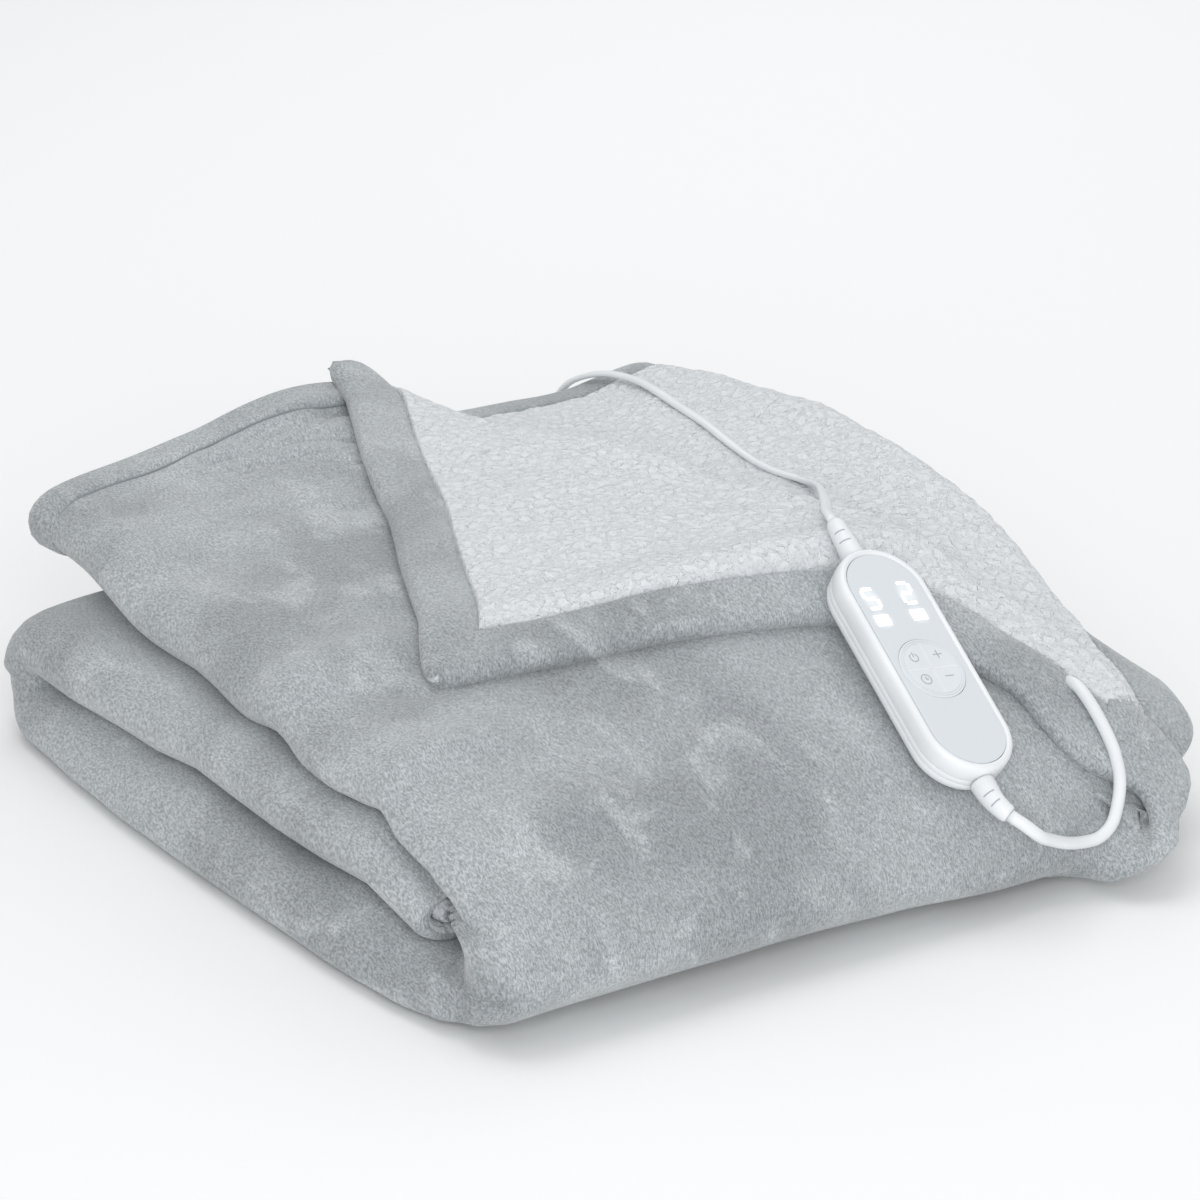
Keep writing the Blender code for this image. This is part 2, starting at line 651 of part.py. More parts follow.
def relief_end(table, sign):
    """Give the first places of a cord, straight out of the tip of its strain relief."""
    turn = Euler([math.radians(angle) for angle in CONTROLLER_TURN]).to_matrix()
    last = Vector(table[-1][:3])
    onward = (last - Vector(table[-2][:3])).normalized()
    start = Vector((0.0, sign * CONTROLLER_LENGTH / 2, CORD_HEIGHT))
    tip = start + last
    steps = (FIT, CORD_START)
    return [tuple(Vector(CONTROLLER_PLACE) + turn @ (tip + onward * step)) for step in steps]


def add_reliefs(group, place, surface):
    """Add the two tapered strain reliefs, on the controller's ends."""
    for name, table, sign in (("mains_strain_relief", MAINS_RELIEF, 1),
                              ("lead_strain_relief", LEAD_RELIEF, -1)):
        end = sign * CONTROLLER_LENGTH / 2
        places = [(x, end + y, CORD_HEIGHT + z) for x, y, z, radius in table]
        tube(group, name, places, [row[3] for row in table], surface, place)


def add_cords(group, pile, surface):
    """Add the mains cord and the control lead, each from its strain relief."""
    for name, table, sign, route, radius in (
        ("mains_cord", MAINS_RELIEF, 1, MAINS_ROUTE, MAINS_RADIUS),
        ("control_lead", LEAD_RELIEF, -1, LEAD_ROUTE, LEAD_RADIUS),
    ):
        start, onward = relief_end(table, sign)
        line = [start, *smooth_route([onward, *route], CORD_SPACING * 2 * radius)]
        tube(group, name, line, [radius] * len(line), surface, pile)


def add_coil(group, pile, surface):
    """Add the outer shape of the coiled length, as a turned ring with rounded edges."""
    mesh = bpy.data.meshes.new("mains_coil")
    corners = [(COIL_OUTER, 0.0, COIL_TOP), (COIL_OUTER, 0.0, COIL_BOTTOM),
               (COIL_INNER, 0.0, COIL_BOTTOM), (COIL_INNER, 0.0, COIL_TOP)]
    mesh.from_pydata(corners, [(0, 1), (1, 2), (2, 3), (3, 0)], [])
    ring = add_mesh(group, "mains_coil", mesh, surface, pile)
    ring.location = (*COIL_CENTRE, 0.0)
    turned = ring.modifiers.new("turned", "SCREW")
    turned.steps = COIL_STEPS
    turned.render_steps = COIL_STEPS
    turned.use_merge_vertices = True
    turned.merge_threshold = 0.0001
    rounded = ring.modifiers.new("rounded", "BEVEL")
    rounded.width = COIL_ROUND
    rounded.segments = 2
    rounded.limit_method = "ANGLE"
    rounded.angle_limit = math.radians(50)


def add_plug(group, pile, surface):
    """Add the moulded plug, lofted from its cord end to its face, and its two flat pins."""
    place = bpy.data.objects.new("plug_place", None)
    group.objects.link(place)
    place.parent = pile
    place.location = PLUG_BACK
    place.rotation_euler = (0.0, 0.0, math.radians(PLUG_HEADING))
    shape = bmesh.new()
    rings = []
    for along, width, height in PLUG_SECTIONS:
        ring = []
        for step in range(PLUG_SIDES):
            swing = 2 * math.pi * step / PLUG_SIDES
            across = width / 2 * rounded_square(math.cos(swing))
            up = height / 2 * rounded_square(math.sin(swing))
            ring.append(shape.verts.new((along, across, up)))
        rings.append(ring)
    shape.faces.new(rings[0][::-1])
    shape.faces.new(rings[-1])
    for ring, following in zip(rings, rings[1:]):
        for step in range(PLUG_SIDES):
            after = (step + 1) % PLUG_SIDES
            shape.faces.new((ring[step], ring[after], following[after], following[step]))
    mesh = bpy.data.meshes.new("plug_body")
    shape.to_mesh(mesh)
    shape.free()
    mesh.shade_smooth()
    mesh.set_sharp_from_angle(angle=math.radians(SHARP_ANGLE))
    add_mesh(group, "plug_body", mesh, surface, place)
    brass = material("pin_brass", (0.72, 0.58, 0.33), 0.30, 1.0)
    start = PLUG_SECTIONS[-1][0] + FIT
    for number, side in ((1, -1), (2, 1)):
        bpy.ops.mesh.primitive_cube_add(size=1.0)
        pin = bpy.context.object
        pin.name = f"plug_pin_{number}"
        pin.data.name = pin.name
        for other in pin.users_collection:
            other.objects.unlink(pin)
        group.objects.link(pin)
        pin.data.transform(Matrix.Diagonal((PIN_LENGTH, PIN_THICK, PIN_WIDTH, 1.0)))
        pin.data.materials.append(brass)
        pin.parent = place
        pin.location = (start + PIN_LENGTH / 2, side * PIN_SPACING / 2, 0.0)
        edge = pin.modifiers.new("rounded", "BEVEL")
        edge.width = PIN_THICK / 4
        edge.segments = 2


def rounded_square(value):
    """Push a circle's coordinate out towards a square with round corners."""
    return math.copysign(abs(value) ** PLUG_SQUARENESS, value)


def main():
    clear_scene()
    group = new_collection("heated_throw")
    cutters = new_collection("cutters")
    pile = bpy.data.objects.new("pile", None)
    group.objects.link(pile)
    pile.location = [-value for value in PILE_MIDDLE]
    add_throw(group, pile)
    place = bpy.data.objects.new("controller_place", None)
    group.objects.link(place)
    place.parent = pile
    place.location = CONTROLLER_PLACE
    place.rotation_euler = [math.radians(turn) for turn in CONTROLLER_TURN]
    add_controller(group, cutters, place)
    white = material("cord_white", (0.84, 0.86, 0.87), 0.35)
    add_reliefs(group, place, white)
    add_cords(group, pile, white)
    add_coil(group, pile, white)
    add_plug(group, pile, white)
    bpy.context.view_layer.update()


main()
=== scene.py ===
"""Looks of the electric heated throw: cloth, fleece, hems, controller and cords round the CAD frame.

Places are in the pile's own metres, with its front left corner near the origin, as in the part's
source. to_frame() moves them to the part's frame, whose origin is the middle of the footprint.
"""
import bpy
import math
import numpy as np
from mathutils import Euler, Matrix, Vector
from mathutils.bvhtree import BVHTree
from mathutils.kdtree import KDTree


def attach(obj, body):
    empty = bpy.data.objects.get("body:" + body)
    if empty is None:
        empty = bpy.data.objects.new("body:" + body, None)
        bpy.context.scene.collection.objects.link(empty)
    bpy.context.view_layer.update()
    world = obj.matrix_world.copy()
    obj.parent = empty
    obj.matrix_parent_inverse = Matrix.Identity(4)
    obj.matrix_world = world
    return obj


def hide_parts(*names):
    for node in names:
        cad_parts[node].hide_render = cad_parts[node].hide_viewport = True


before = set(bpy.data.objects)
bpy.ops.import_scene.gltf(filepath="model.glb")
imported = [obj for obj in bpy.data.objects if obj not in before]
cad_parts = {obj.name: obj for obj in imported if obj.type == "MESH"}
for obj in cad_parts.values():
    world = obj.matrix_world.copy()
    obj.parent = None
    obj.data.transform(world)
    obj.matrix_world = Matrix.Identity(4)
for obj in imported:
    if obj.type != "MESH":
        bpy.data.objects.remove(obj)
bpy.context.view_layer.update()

PILE_MIDDLE = np.array((0.1860, 0.1959, 0.0))

# The cloth: its plies and layers as in the part's source, and how they fold and lie.
PLY = 0.0085
PLY_GAP = 0.0008
LAYER = 4 * PLY + 3 * PLY_GAP
LAYER_GAP = 0.0016
PLY_PITCH = PLY + PLY_GAP
LOW_MID = LAYER / 2
CENTRE_MID = LOW_MID + LAYER + LAYER_GAP
TOP_MID = CENTRE_MID + LAYER + LAYER_GAP
TOP_FLOOR = TOP_MID - LAYER / 2 - LAYER_GAP / 2
LOW_FLOOR = LOW_MID + LAYER / 2 + LAYER_GAP / 2
FRONT_RADIUS = (TOP_MID - LOW_MID) / 2
BACK_RADIUS = (CENTRE_MID - LOW_MID) / 2
OUTER_RADIUS = 1.5 * PLY_PITCH
INNER_RADIUS = 0.5 * PLY_PITCH
ROLL_RADIUS = 0.0060
ROLL_LENGTH = math.pi * ROLL_RADIUS
FRONT_CENTRE = FRONT_RADIUS + LAYER / 2
NOSE = 0.026
NOSE_REACH = 0.032
LOW_NOSE = 0.010
LEFT_FOOT = 0.008
BACK_OUTER = 0.407 + NOSE
BACK_CENTRE = BACK_OUTER - BACK_RADIUS - LAYER / 2
TUCKED_END = 0.053
FOLD_CENTRE_X = OUTER_RADIUS + PLY / 2
LIE_DOWN = 0.03
LIE_DOWN_POWER = 8
END_ROUND = 0.0048
RIM_SHARE = 0.42

# The top layer from back to front: the X of the turned corner's edge and of its fold, how far the
# cloth turns over there, the edge of the ply beneath, and the loop under it. The corner's fold and
# the two right edges are finer here than in the part.
TOP_ROWS = (
    # y, hem, crest, turn, hem_b, right
    (0.432, 0.195, 0.211, 180, 0.4, 0.368), (0.418, 0.192, 0.211, 180, 0.405, 0.368),
    (0.402, 0.186, 0.212, 180, 0.408, 0.368), (0.378, 0.175, 0.214, 180, 0.41, 0.368),
    (0.34, 0.158, 0.224, 180, 0.412, 0.368), (0.3, 0.14, 0.24, 180, 0.413, 0.368),
    (0.258, 0.121, 0.256, 180, 0.413, 0.368), (0.212, 0.1, 0.269, 180, 0.412, 0.368),
    (0.164, 0.079, 0.283, 180, 0.41, 0.368), (0.117, 0.058, 0.297, 180, 0.411, 0.372),
    (0.104, 0.098, 0.301, 180, 0.411, 0.374), (0.09, 0.17, 0.306, 180, 0.41, 0.376),
    (0.077, 0.238, 0.316, 180, 0.407, 0.379), (0.062, 0.268, 0.33, 180, 0.402, 0.381),
    (0.046, 0.284, 0.341, 180, 0.399, 0.382),
)
CORNER_Y = 0.117

# The front fold from top to bottom, where the turned corner runs out.
FRONT_ROWS = (
    # swing round the fold, hem, crest, turn, hem_b, right
    (90, 0.293, 0.345, 180, 0.397, 0.382), (105, 0.304, 0.347, 180, 0.394, 0.381),
    (120, 0.307, 0.347, 180, 0.391, 0.379), (138, 0.314, 0.35, 180, 0.388, 0.376),
    (150, 0.326, 0.354, 180, 0.38, 0.367), (160, 0.334, 0.353, 176, 0.368, 0.357),
    (172, 0.332, 0.344, 165, 0.35, 0.344), (183, 0.322, 0.331, 135, 0.333, 0.331),
    (200, 0.298, 0.304, 70, 0.315, 0.316), (226, 0.274, 0.28, 15, 0.296, 0.297),
    (270, 0.32, 0.326, 0, 0.348, 0.35),
)
LOW_ROW = (0.366, 0.352, 0.0, 0.384, 0.384)
BACK_ROW = (0.366, 0.352, 0.0, 0.380, 0.384)
TUCKED_ROW = (0.362, 0.348, 0.0, 0.376, 0.380)

# How far the pile is squashed: the height of the cloth as a share of the neat pile's height.
HEIGHT_X = (-0.02, 0.03, 0.10, 0.165, 0.20, 0.23, 0.30, 0.33, 0.36, 0.40)
HEIGHT_ROWS = (
    # y, then the share at each X of HEIGHT_X
    (-0.03, 0.58, 0.59, 0.59, 0.58, 0.57, 0.56, 0.535, 0.53, 0.53, 0.51),
    (0.02, 0.62, 0.66, 0.7, 0.71, 0.71, 0.71, 0.71, 0.68, 0.64, 0.58),
    (0.06, 0.68, 0.76, 0.82, 0.85, 0.86, 0.86, 0.87, 0.8, 0.73, 0.66),
    (0.1, 0.72, 0.84, 0.92, 0.96, 0.97, 0.98, 0.99, 0.94, 0.88, 0.81),
    (0.15, 0.76, 0.87, 0.97, 1.01, 1.02, 1.03, 1.04, 1.03, 1.03, 1.08),
    (0.22, 0.78, 0.89, 0.99, 1.02, 1.02, 1.02, 1.02, 1.06, 1.11, 1.2),
    (0.28, 0.79, 0.89, 0.99, 1.02, 1.03, 1.03, 1.02, 1.07, 1.13, 1.25),
    (0.35, 0.77, 0.87, 1, 1.06, 1.05, 1.02, 1, 1.03, 1.08, 1.18),
    (0.44, 0.74, 0.83, 1.015, 1.13, 1.08, 0.97, 0.92, 0.9, 0.95, 1.01),
)

# How far the foot of the front fold stands out along the front.
FRONT_FOOT = (
    # x, reach
    (0, 0.007), (0.16, 0.005), (0.24, 0.012), (0.31, 0.018), (0.35, 0.01), (0.375, -0.004),
    (0.39, -0.012),
)

# How far each layer's left side stands off the line of the pile, front to back.
LEFT_SIDES = (
    # y, top, centre and bottom layer
    (-0.01, 0, -0.006, -0.01), (0.06, 0, -0.008, -0.018), (0.2, 0.008, -0.01, -0.02),
    (0.32, 0.016, -0.01, -0.014), (0.41, 0.024, -0.011, -0.006),
)

# The ply beneath curls down over the pile's right edge: how much, by the distance from the back.
CURL_FROM = 0.375
CURL_RADIUS = 0.012
CURL_MOST = math.radians(85)
CURL_ROWS = (
    (0, 0.5), (0.02, 0.8), (0.054, 1), (0.315, 1), (0.345, 0.9), (0.365, 0.6), (0.382, 0.35),
    (0.402, 0.22), (0.44, 0.1), (0.47, 0),
)

# The swell behind the turned corner's front edge.
RIDGE = (
    # x, y of its top, height
    (0.03, 0.15, 0), (0.09, 0.14, 0.002), (0.17, 0.119, 0.006), (0.235, 0.106, 0.011),
    (0.27, 0.098, 0.0115), (0.3, 0.092, 0.006), (0.325, 0.088, 0),
)
RIDGE_FRONT = 0.013
RIDGE_BACK = 0.020

# The back edge of the top ply rises to the turned corner's fold.
PEAK_X = 0.203
PEAK_HEIGHT = 0.004
PEAK_REACH = 0.026

# The heights between which these rises and the folds' lobes fade in.
RIDGE_FADE = (0.088, 0.106)
PEAK_FADE = (0.085, 0.105)
UPPER_FOLDS = (0.045, 0.075)
LOWER_FOLDS = (0.015, 0.035)
LOWER_FOLDS_END = (0.05, 0.07)

# Soft waves over the cloth: rise, shift, size and seed. They fade out towards what lies on it:
# the controller, its lead and the first places of the mains cord's route. The controller presses
# the cloth down by PRESS_DEPTH.
WAVES = ((0.0021, 0.3, 0.062, 31), (0.0006, 0.7, 0.027, 41))
WAVES_FROM = (0.008, 0.045)
ON_PILE = 22
PRESS_DEPTH = 0.0006

# The fleece's pile: its height, how much its tufts, curls and waves add, and how deep it sinks
# under a hem band.
PILE_HEIGHT = 0.0012
PILE_TUFT = 0.0013
PILE_CURL = 0.0008
PILE_WAVE = 0.0012
PILE_SINK = 0.0030
TUFT_SIZE = 0.0085
CURL_SIZE = 0.0045
TUFT_WANDER = 0.0022

# How the left folds of the layers rise and fall, front to back.
LEFT_LOBES = (
    # y, between the top and centre layers, between the centre and bottom layers
    (-0.03, 0, 0), (0.003, -0.004, 0), (0.017, 0.003, 0.001), (0.045, 0.001, 0.003),
    (0.057, 0.002, 0.005), (0.071, 0.008, 0.008), (0.09, 0.003, 0.005), (0.135, -0.003, 0.0015),
    (0.173, 0.006, 0.003), (0.2, 0.002, 0.004), (0.228, 0.003, 0.006), (0.254, 0.003, 0.002),
    (0.304, 0, 0), (0.34, 0.002, -0.001), (0.4, 0, 0),
)

# Creases in the flannel: depth, half width, and the line's places. Heights count less than the
# rest, so that a line set at about the cloth's height still reaches it.
CREASE_REACH = np.array((1.0, 1.0, 0.35))
CREASES = (
    (0.0032, 0.005, ((0.191, 0.403, 0.122), (0.179, 0.404, 0.123), (0.165, 0.397, 0.123),
     (0.153, 0.398, 0.121), (0.131, 0.4, 0.117))),
    (0.0034, 0.004, ((0.173, 0.369, 0.121), (0.162, 0.379, 0.121), (0.15, 0.383, 0.12),
     (0.13, 0.388, 0.116), (0.106, 0.396, 0.114))),
    (0.003, 0.004, ((0.16, 0.346, 0.118), (0.146, 0.359, 0.118), (0.131, 0.371, 0.116),
     (0.111, 0.375, 0.114))),
    (0.0016, 0.005, ((0.132, 0.3, 0.114), (0.112, 0.318, 0.112), (0.092, 0.325, 0.11))),
    (0.0016, 0.0045, ((0.084, 0.204, 0.108), (0.07, 0.172, 0.104))),
    (0.0018, 0.0045, ((0.059, 0.165, 0.103), (0.05, 0.14, 0.1))),
    (0.0018, 0.004, ((0.042, 0.132, 0.098), (0.054, 0.114, 0.098))),
    (0.003, 0.004, ((0.007, 0.049, 0.052), (0.004, 0.03, 0.048))),
    (0.0034, 0.004, ((-0.008, 0.094, 0.027), (-0.013, 0.07, 0.022))),
    (0.0022, 0.006, ((-0.007, 0.312, 0.027), (-0.014, 0.275, 0.023))),
    (0.0022, 0.005, ((-0.001, 0.142, 0.031), (-0.006, 0.116, 0.028))),
    (0.003, 0.0035, ((0.002, 0.014, 0.024), (-0.008, -0.003, 0.022), (-0.011, -0.009, 0.014))),
)

# Hem bands. Each is found by steps inside the cloth from its edge, with rays to both its sides. Where
# they no longer meet cloth, the steps shrink to HALT_STEP. HEM_LIFT has how far a band stands off
# the cloth, by the distance from its seam.
HEM_WIDTH = 0.0232
HEM_STEPS = 12
HEM_SUBSTEPS = 3
HALT_STEP = 0.00003
WALK_FROM = 0.0005
CAST_REACH = 0.012
SEAM_OFF = 0.0012
SEAM_RADIUS = 0.0005
HEM_LIFT = (
    (0, -0.0009), (0.0007, 0.0004), (0.0018, 0.0012), (0.0045, 0.0018), (0.01, 0.0021),
    (0.019, 0.0018), (0.0232, 0.0015),
)
HEM_RIM = 0.0046

# Where the front band grows until it covers the end of the turned corner, by its edge's Y.
BAND_GROWS = ((-0.040, 0.046), (-0.028, 0.040), (-0.020, 0.033), (-0.007, 0.029), (0.007, 0.026),
              (0.020, 0.0245), (0.032, HEM_WIDTH))

# The controller, at the place and size that it has in the part's source.
CONTROLLER_PLACE = (0.2519, 0.0283, 0.0884)
CONTROLLER_TURN = (33.1, 7.2, 0.0)
CONTROLLER_LENGTH = 0.1268
CONTROLLER_WIDTH = 0.0467
KEYPAD_Y = -0.0062
FACE_HEIGHT = 0.0181
FACE_INSET = 0.0040
FACE_THICK = 0.0026
HOLE_RADIUS = 0.0167
KEY_HEIGHT = 0.0185
CORD_HEIGHT = 0.0094
STADIUM_STEPS = 22
CIRCLE_STEPS = 56
RELIEF_STEPS = 26
RELIEF_SIDES = 24
RELIEF_SLOTS = (9, 15)
ROUTE_FINENESS = 40
CONTROLLER_MATRIX = Euler([math.radians(angle) for angle in CONTROLLER_TURN]).to_matrix()
CONTROLLER_AXES = np.array(CONTROLLER_MATRIX)

# The controller's shells, face and keypad as profiles: in from the outline or out from the middle,
# and up from the underside.
COVER_PROFILE = (
    (0.0038, 0.015), (0.0038, 0.0178), (0.0036, 0.0182), (0.0032, 0.0186), (0.0026, 0.0188),
    (0.0019, 0.01875), (0.0012, 0.0184), (0.0006, 0.0178), (0.0002, 0.0168), (0, 0.0155),
    (0, 0.0102), (0.0002, 0.0098), (0.0008, 0.0096), (0.0038, 0.0096),
)
BASE_PROFILE = (
    (0.006, 0.0094), (0.001, 0.0094), (0.0005, 0.0091), (0.0004, 0.0088), (0.0004, 0.0066),
    (0.0006, 0.0063), (0.0011, 0.0062), (0.0011, 0.0059), (0.0007, 0.0057), (0.0006, 0.0052),
    (0.0009, 0.0034), (0.0018, 0.0016), (0.0034, 0.0004), (0.0052, 0),
)
KEYPAD_PROFILE = (
    (0.0165, 0.0155), (0.0165, 0.0181), (0.0163, 0.0184), (0.0159, 0.0185), (0.0156, 0.0185),
    (0.0155, 0.0182), (0.0152, 0.0182), (0.0151, 0.0185), (0.0145, 0.0185), (0.0144, 0.0182),
    (0.0141, 0.0182), (0.014, 0.0185), (0.007, 0.0185),
)

# The marks on the keypad and the lit display, in the controller's own metres.
MARK_WIDTH = 0.00045
MARK_THICK = 0.00012
POWER_AT = (-0.0067, 0.0004)
PLUS_AT = (0.0066, 0.0009)
CLOCK_AT = (-0.0066, -0.0119)
MINUS_AT = (0.0066, -0.0113)
KEY_REACH = 0.0140
KEY_LINE_WIDTH = 0.0004
# The marks: middle, then arcs (radius, first and last angle, steps) and straight lines, from there.
KEY_MARKS = (
    (POWER_AT, ((0.0022, 120, 420, 18),), ((0, 0.0003, 0, 0.0030),)),
    (PLUS_AT, (), ((-0.0024, 0, 0.0024, 0), (0, -0.0024, 0, 0.0024))),
    (MINUS_AT, (), ((-0.0024, 0, 0.0024, 0),)),
    (CLOCK_AT, ((0.0026, 0, 360, 26),), ((0, -0.0002, 0, 0.0015), (-0.0002, 0, 0.0012, 0))),
)
DIGIT_WIDTH = 0.0015
# The digits 5 and 2: left, low, right and high side, then both ends of each segment as shares of
# that box.
DIGITS = (
    ((-0.0145, 0.0295, -0.0081, 0.0406), ((0.10, 1, 0.95, 1), (0, 0.93, 0, 0.57), (0.10, 0.5, 0.90, 0.5),
                                          (1, 0.43, 1, 0.07), (0.05, 0, 0.90, 0))),
    ((0.0064, 0.0305, 0.0125, 0.0420), ((0.05, 1, 0.90, 1), (1, 0.93, 1, 0.57), (0.10, 0.5, 0.90, 0.5),
                                        (0, 0.43, 0, 0.07), (0.10, 0, 0.95, 0))),
)
LIT_SQUARES = ((-0.0114, 0.0227), (0.0094, 0.0237))
LIT_SIZE = (0.0078, 0.0058)
GLOWS = ((-0.0113, 0.0350, 0.0062, 0.0085), (0.0095, 0.0362, 0.0062, 0.0085),
         (-0.0114, 0.0227, 0.0070, 0.0060), (0.0094, 0.0237, 0.0070, 0.0060))
GLOW_STRENGTH = 0.16
FIT = 0.0003
CORD_START = 0.0030

# The strain reliefs: middle line from the end of the controller, with the radius there.
MAINS_RELIEF = (
    # x, y, z, radius
    (0, 0.0003, 0, 0.0056), (0.0004, 0.008, -0.0002, 0.0052), (0.0014, 0.016, -0.0012, 0.0047),
    (0.003, 0.024, -0.0028, 0.0041),
)
LEAD_RELIEF = (
    # x, y, z, radius
    (0, -0.0003, 0, 0.0058), (0.0001, -0.006, 0.0001, 0.0054), (0.0006, -0.0112, 0.0004, 0.0049),
    (0.0018, -0.0158, 0.0008, 0.0045), (0.0038, -0.0195, 0.0011, 0.0042),
)

# The mains cord is flat. Its route's places are the part's own.
MAINS_WIDTH = 0.0055
MAINS_THICK = 0.0029
MAINS_ROUTE = (
    (0.266, 0.108, 0.1408), (0.2745, 0.1215, 0.1372), (0.285, 0.136, 0.1333),
    (0.2975, 0.154, 0.129), (0.3095, 0.172, 0.1245), (0.3205, 0.189, 0.119),
    (0.328, 0.2055, 0.1146), (0.3285, 0.2195, 0.1132), (0.3262, 0.234, 0.113),
    (0.3262, 0.25, 0.1134), (0.33, 0.274, 0.114), (0.3366, 0.3056, 0.1144),
    (0.3434, 0.3405, 0.1132), (0.3483, 0.3633, 0.1122), (0.352, 0.382, 0.111),
    (0.3535, 0.399, 0.1093), (0.3515, 0.4135, 0.1075), (0.3475, 0.4275, 0.1032),
    (0.3437, 0.44, 0.0955), (0.3412, 0.448, 0.082), (0.3402, 0.4515, 0.064),
    (0.3398, 0.4505, 0.046), (0.3396, 0.452, 0.03), (0.3395, 0.457, 0.016), (0.3395, 0.466, 0.007),
    (0.3395, 0.478, 0.0033), (0.3395, 0.492, 0.0029),
)
# The way that the flat cord's thin side faces, by its share of the way to the coil.
MAINS_FACING = (
    # share, x, y, z
    (0, 0.2, -0.3, 0.93), (0.14, 0.3, -0.45, 0.84), (0.3, 0.35, -0.55, 0.75),
    (0.45, 0.1, -0.2, 0.97), (0.74, 0.05, 0, 1), (0.8, 0, 1, 0.4), (0.9, 0, 1, 0.1),
    (0.95, 0.6, 0.6, 0.4), (1, 1, 0, 0),
)

# The stored length: the flat cord wound on edge, in two layers of four turns.
COIL_CENTRE = (0.3045, 0.5095)
COIL_RADII = (0.0350, 0.0317, 0.0284, 0.0251)
COIL_LOW = 0.00295
COIL_HIGH = 0.00880
COIL_DIP = 0.0222
COIL_SHIFT = 30.0
COIL_LEAVE = 120.0
COIL_STEP = 7.5
PLUG_BACK = (0.2705, 0.5303, 0.0069)
PLUG_HEADING = 210.0

# The control lead is round. Over the turned corner it runs up to about 1 cm nearer the viewer than
# the part's lead.
LEAD_RADIUS = 0.0029
LEAD_ROUTE = (
    (0.2546, -0.052, 0.0484), (0.259, -0.0543, 0.0443), (0.2643, -0.0538, 0.0401),
    (0.271, -0.052, 0.0366), (0.2805, -0.0494, 0.032), (0.289, -0.0475, 0.0291),
    (0.2966, -0.0465, 0.0277), (0.3026, -0.0466, 0.0279), (0.3102, -0.0457, 0.0317),
    (0.3166, -0.042, 0.0384), (0.3216, -0.0372, 0.0475), (0.3248, -0.0308, 0.054),
    (0.3256, -0.026, 0.06), (0.3259, -0.0166, 0.069), (0.3256, -0.0092, 0.0752),
    (0.3262, -0.0006, 0.0792), (0.3276, 0.0066, 0.0788), (0.33, 0.0128, 0.0768),
    (0.3322, 0.0186, 0.0748),
)

# The camera, in the part's frame.
CAMERA_PLACE = (-1.2052, -1.7999, 0.9287)
CAMERA_TARGET = (0.0650, 0.0761, 0.05)
CAMERA_LENS = 150.0
CAMERA_SENSOR = 36.0

# The floor and the soft lights: name, place, size and power.
FLOOR_REACH = 6.0
BACKDROP = 0.62
LIGHT_TARGET = (0.0, 0.0, 0.06)
LIGHTS = (
    ("key", (-1.2, -2.1, 1.0), 1.4, 26.0),
    ("top", (0.1, 0.5, 2.2), 1.8, 11.5),
    ("back", (1.3, 1.4, 1.3), 1.2, 5.0),
)

# Colours of the two cloths, and the scale of the plastics' grain.
FLANNEL_DARK = (0.315, 0.335, 0.345)
FLANNEL_LIGHT = (0.425, 0.450, 0.460)
# The brightest flannel colour is painted highlight, for the strokes where the pile catches the light.
FLANNEL_PAINTED_HIGHLIGHT = (0.520, 0.545, 0.555)
# The first fleece colour is painted shade, for the low places between tufts and under the hem bands; the
# second is the tips' own white.
FLEECE_VALLEY_SHADE = (0.67, 0.70, 0.72)
FLEECE_TIP = (0.80, 0.82, 0.835)
PLASTIC_GRAIN = 2600.0


# ---------------------------------------------------------------- arithmetic

def to_frame(points):
    """Move places from the pile's metres to the part's frame."""
    return np.asarray(points, float) - PILE_MIDDLE


def unit(vectors):
    """Scale each vector to length 1."""
    return vectors / np.maximum(np.linalg.norm(vectors, axis=-1, keepdims=True), 1e-12)


def hermite(low, high, low_rise, high_rise, part):
    """Pass from one value to the next with the given rises, as part goes from 0 to 1."""
    rest = 1 - part
    curve = low * (1 + 2 * part) * rest ** 2 + low_rise * part * rest ** 2
    return curve + high * part ** 2 * (3 - 2 * part) - high_rise * part ** 2 * rest


def smooth(stations, values, at):
    """Read a smooth curve through given values, which never overshoots them."""
    stations = np.asarray(stations, float)
    values = np.asarray(values, float)
    at = np.clip(np.asarray(at, float), stations[0], stations[-1])
    if values.ndim == 1:
        values = values.reshape((-1,) + (1,) * at.ndim)
    values = np.broadcast_to(values, (len(stations),) + at.shape)
    rises = np.diff(values, axis=0) / np.diff(stations).reshape((-1,) + (1,) * at.ndim)
    slopes = np.zeros_like(values)
    slopes[0], slopes[-1] = rises[0], rises[-1]
    before, after = rises[:-1], rises[1:]
    climbing = before * after > 0
    total = np.where(climbing, before + after, 1.0)
    slopes[1:-1] = np.where(climbing, 2 * before * after / total, 0.0)
    index = np.clip(np.searchsorted(stations, at, side="right") - 1, 0, len(stations) - 2)
    width = stations[index + 1] - stations[index]

    def pick(grid, step):
        return np.take_along_axis(grid, index[None] + step, 0)[0]

    return hermite(pick(values, 0), pick(values, 1), pick(slopes, 0) * width, pick(slopes, 1) * width,
                   (at - stations[index]) / width)


def column(table, number):
    """Take one column of a table."""
    return [row[number] for row in table]


def read(table, number, at):
    """Read one column of a table smoothly, at values of its first column."""
    return smooth(column(table, 0), column(table, number), at)


def ramp(value, start, end):
    """Go smoothly from 0 at start to 1 at end."""
    part = np.clip((value - start) / (end - start), 0.0, 1.0)
    return part * part * (3 - 2 * part)


def resample(values, spacing):
    """Step evenly along a line of places that other values may go with."""
    steps = np.linalg.norm(np.diff(values[:, :3], axis=0), axis=1)
    travelled = np.concatenate([[0.0], np.cumsum(steps)])
    at = np.linspace(0.0, travelled[-1], max(round(travelled[-1] / spacing), 2) + 1)
    return np.stack([np.interp(at, travelled, column) for column in values.T], axis=1)


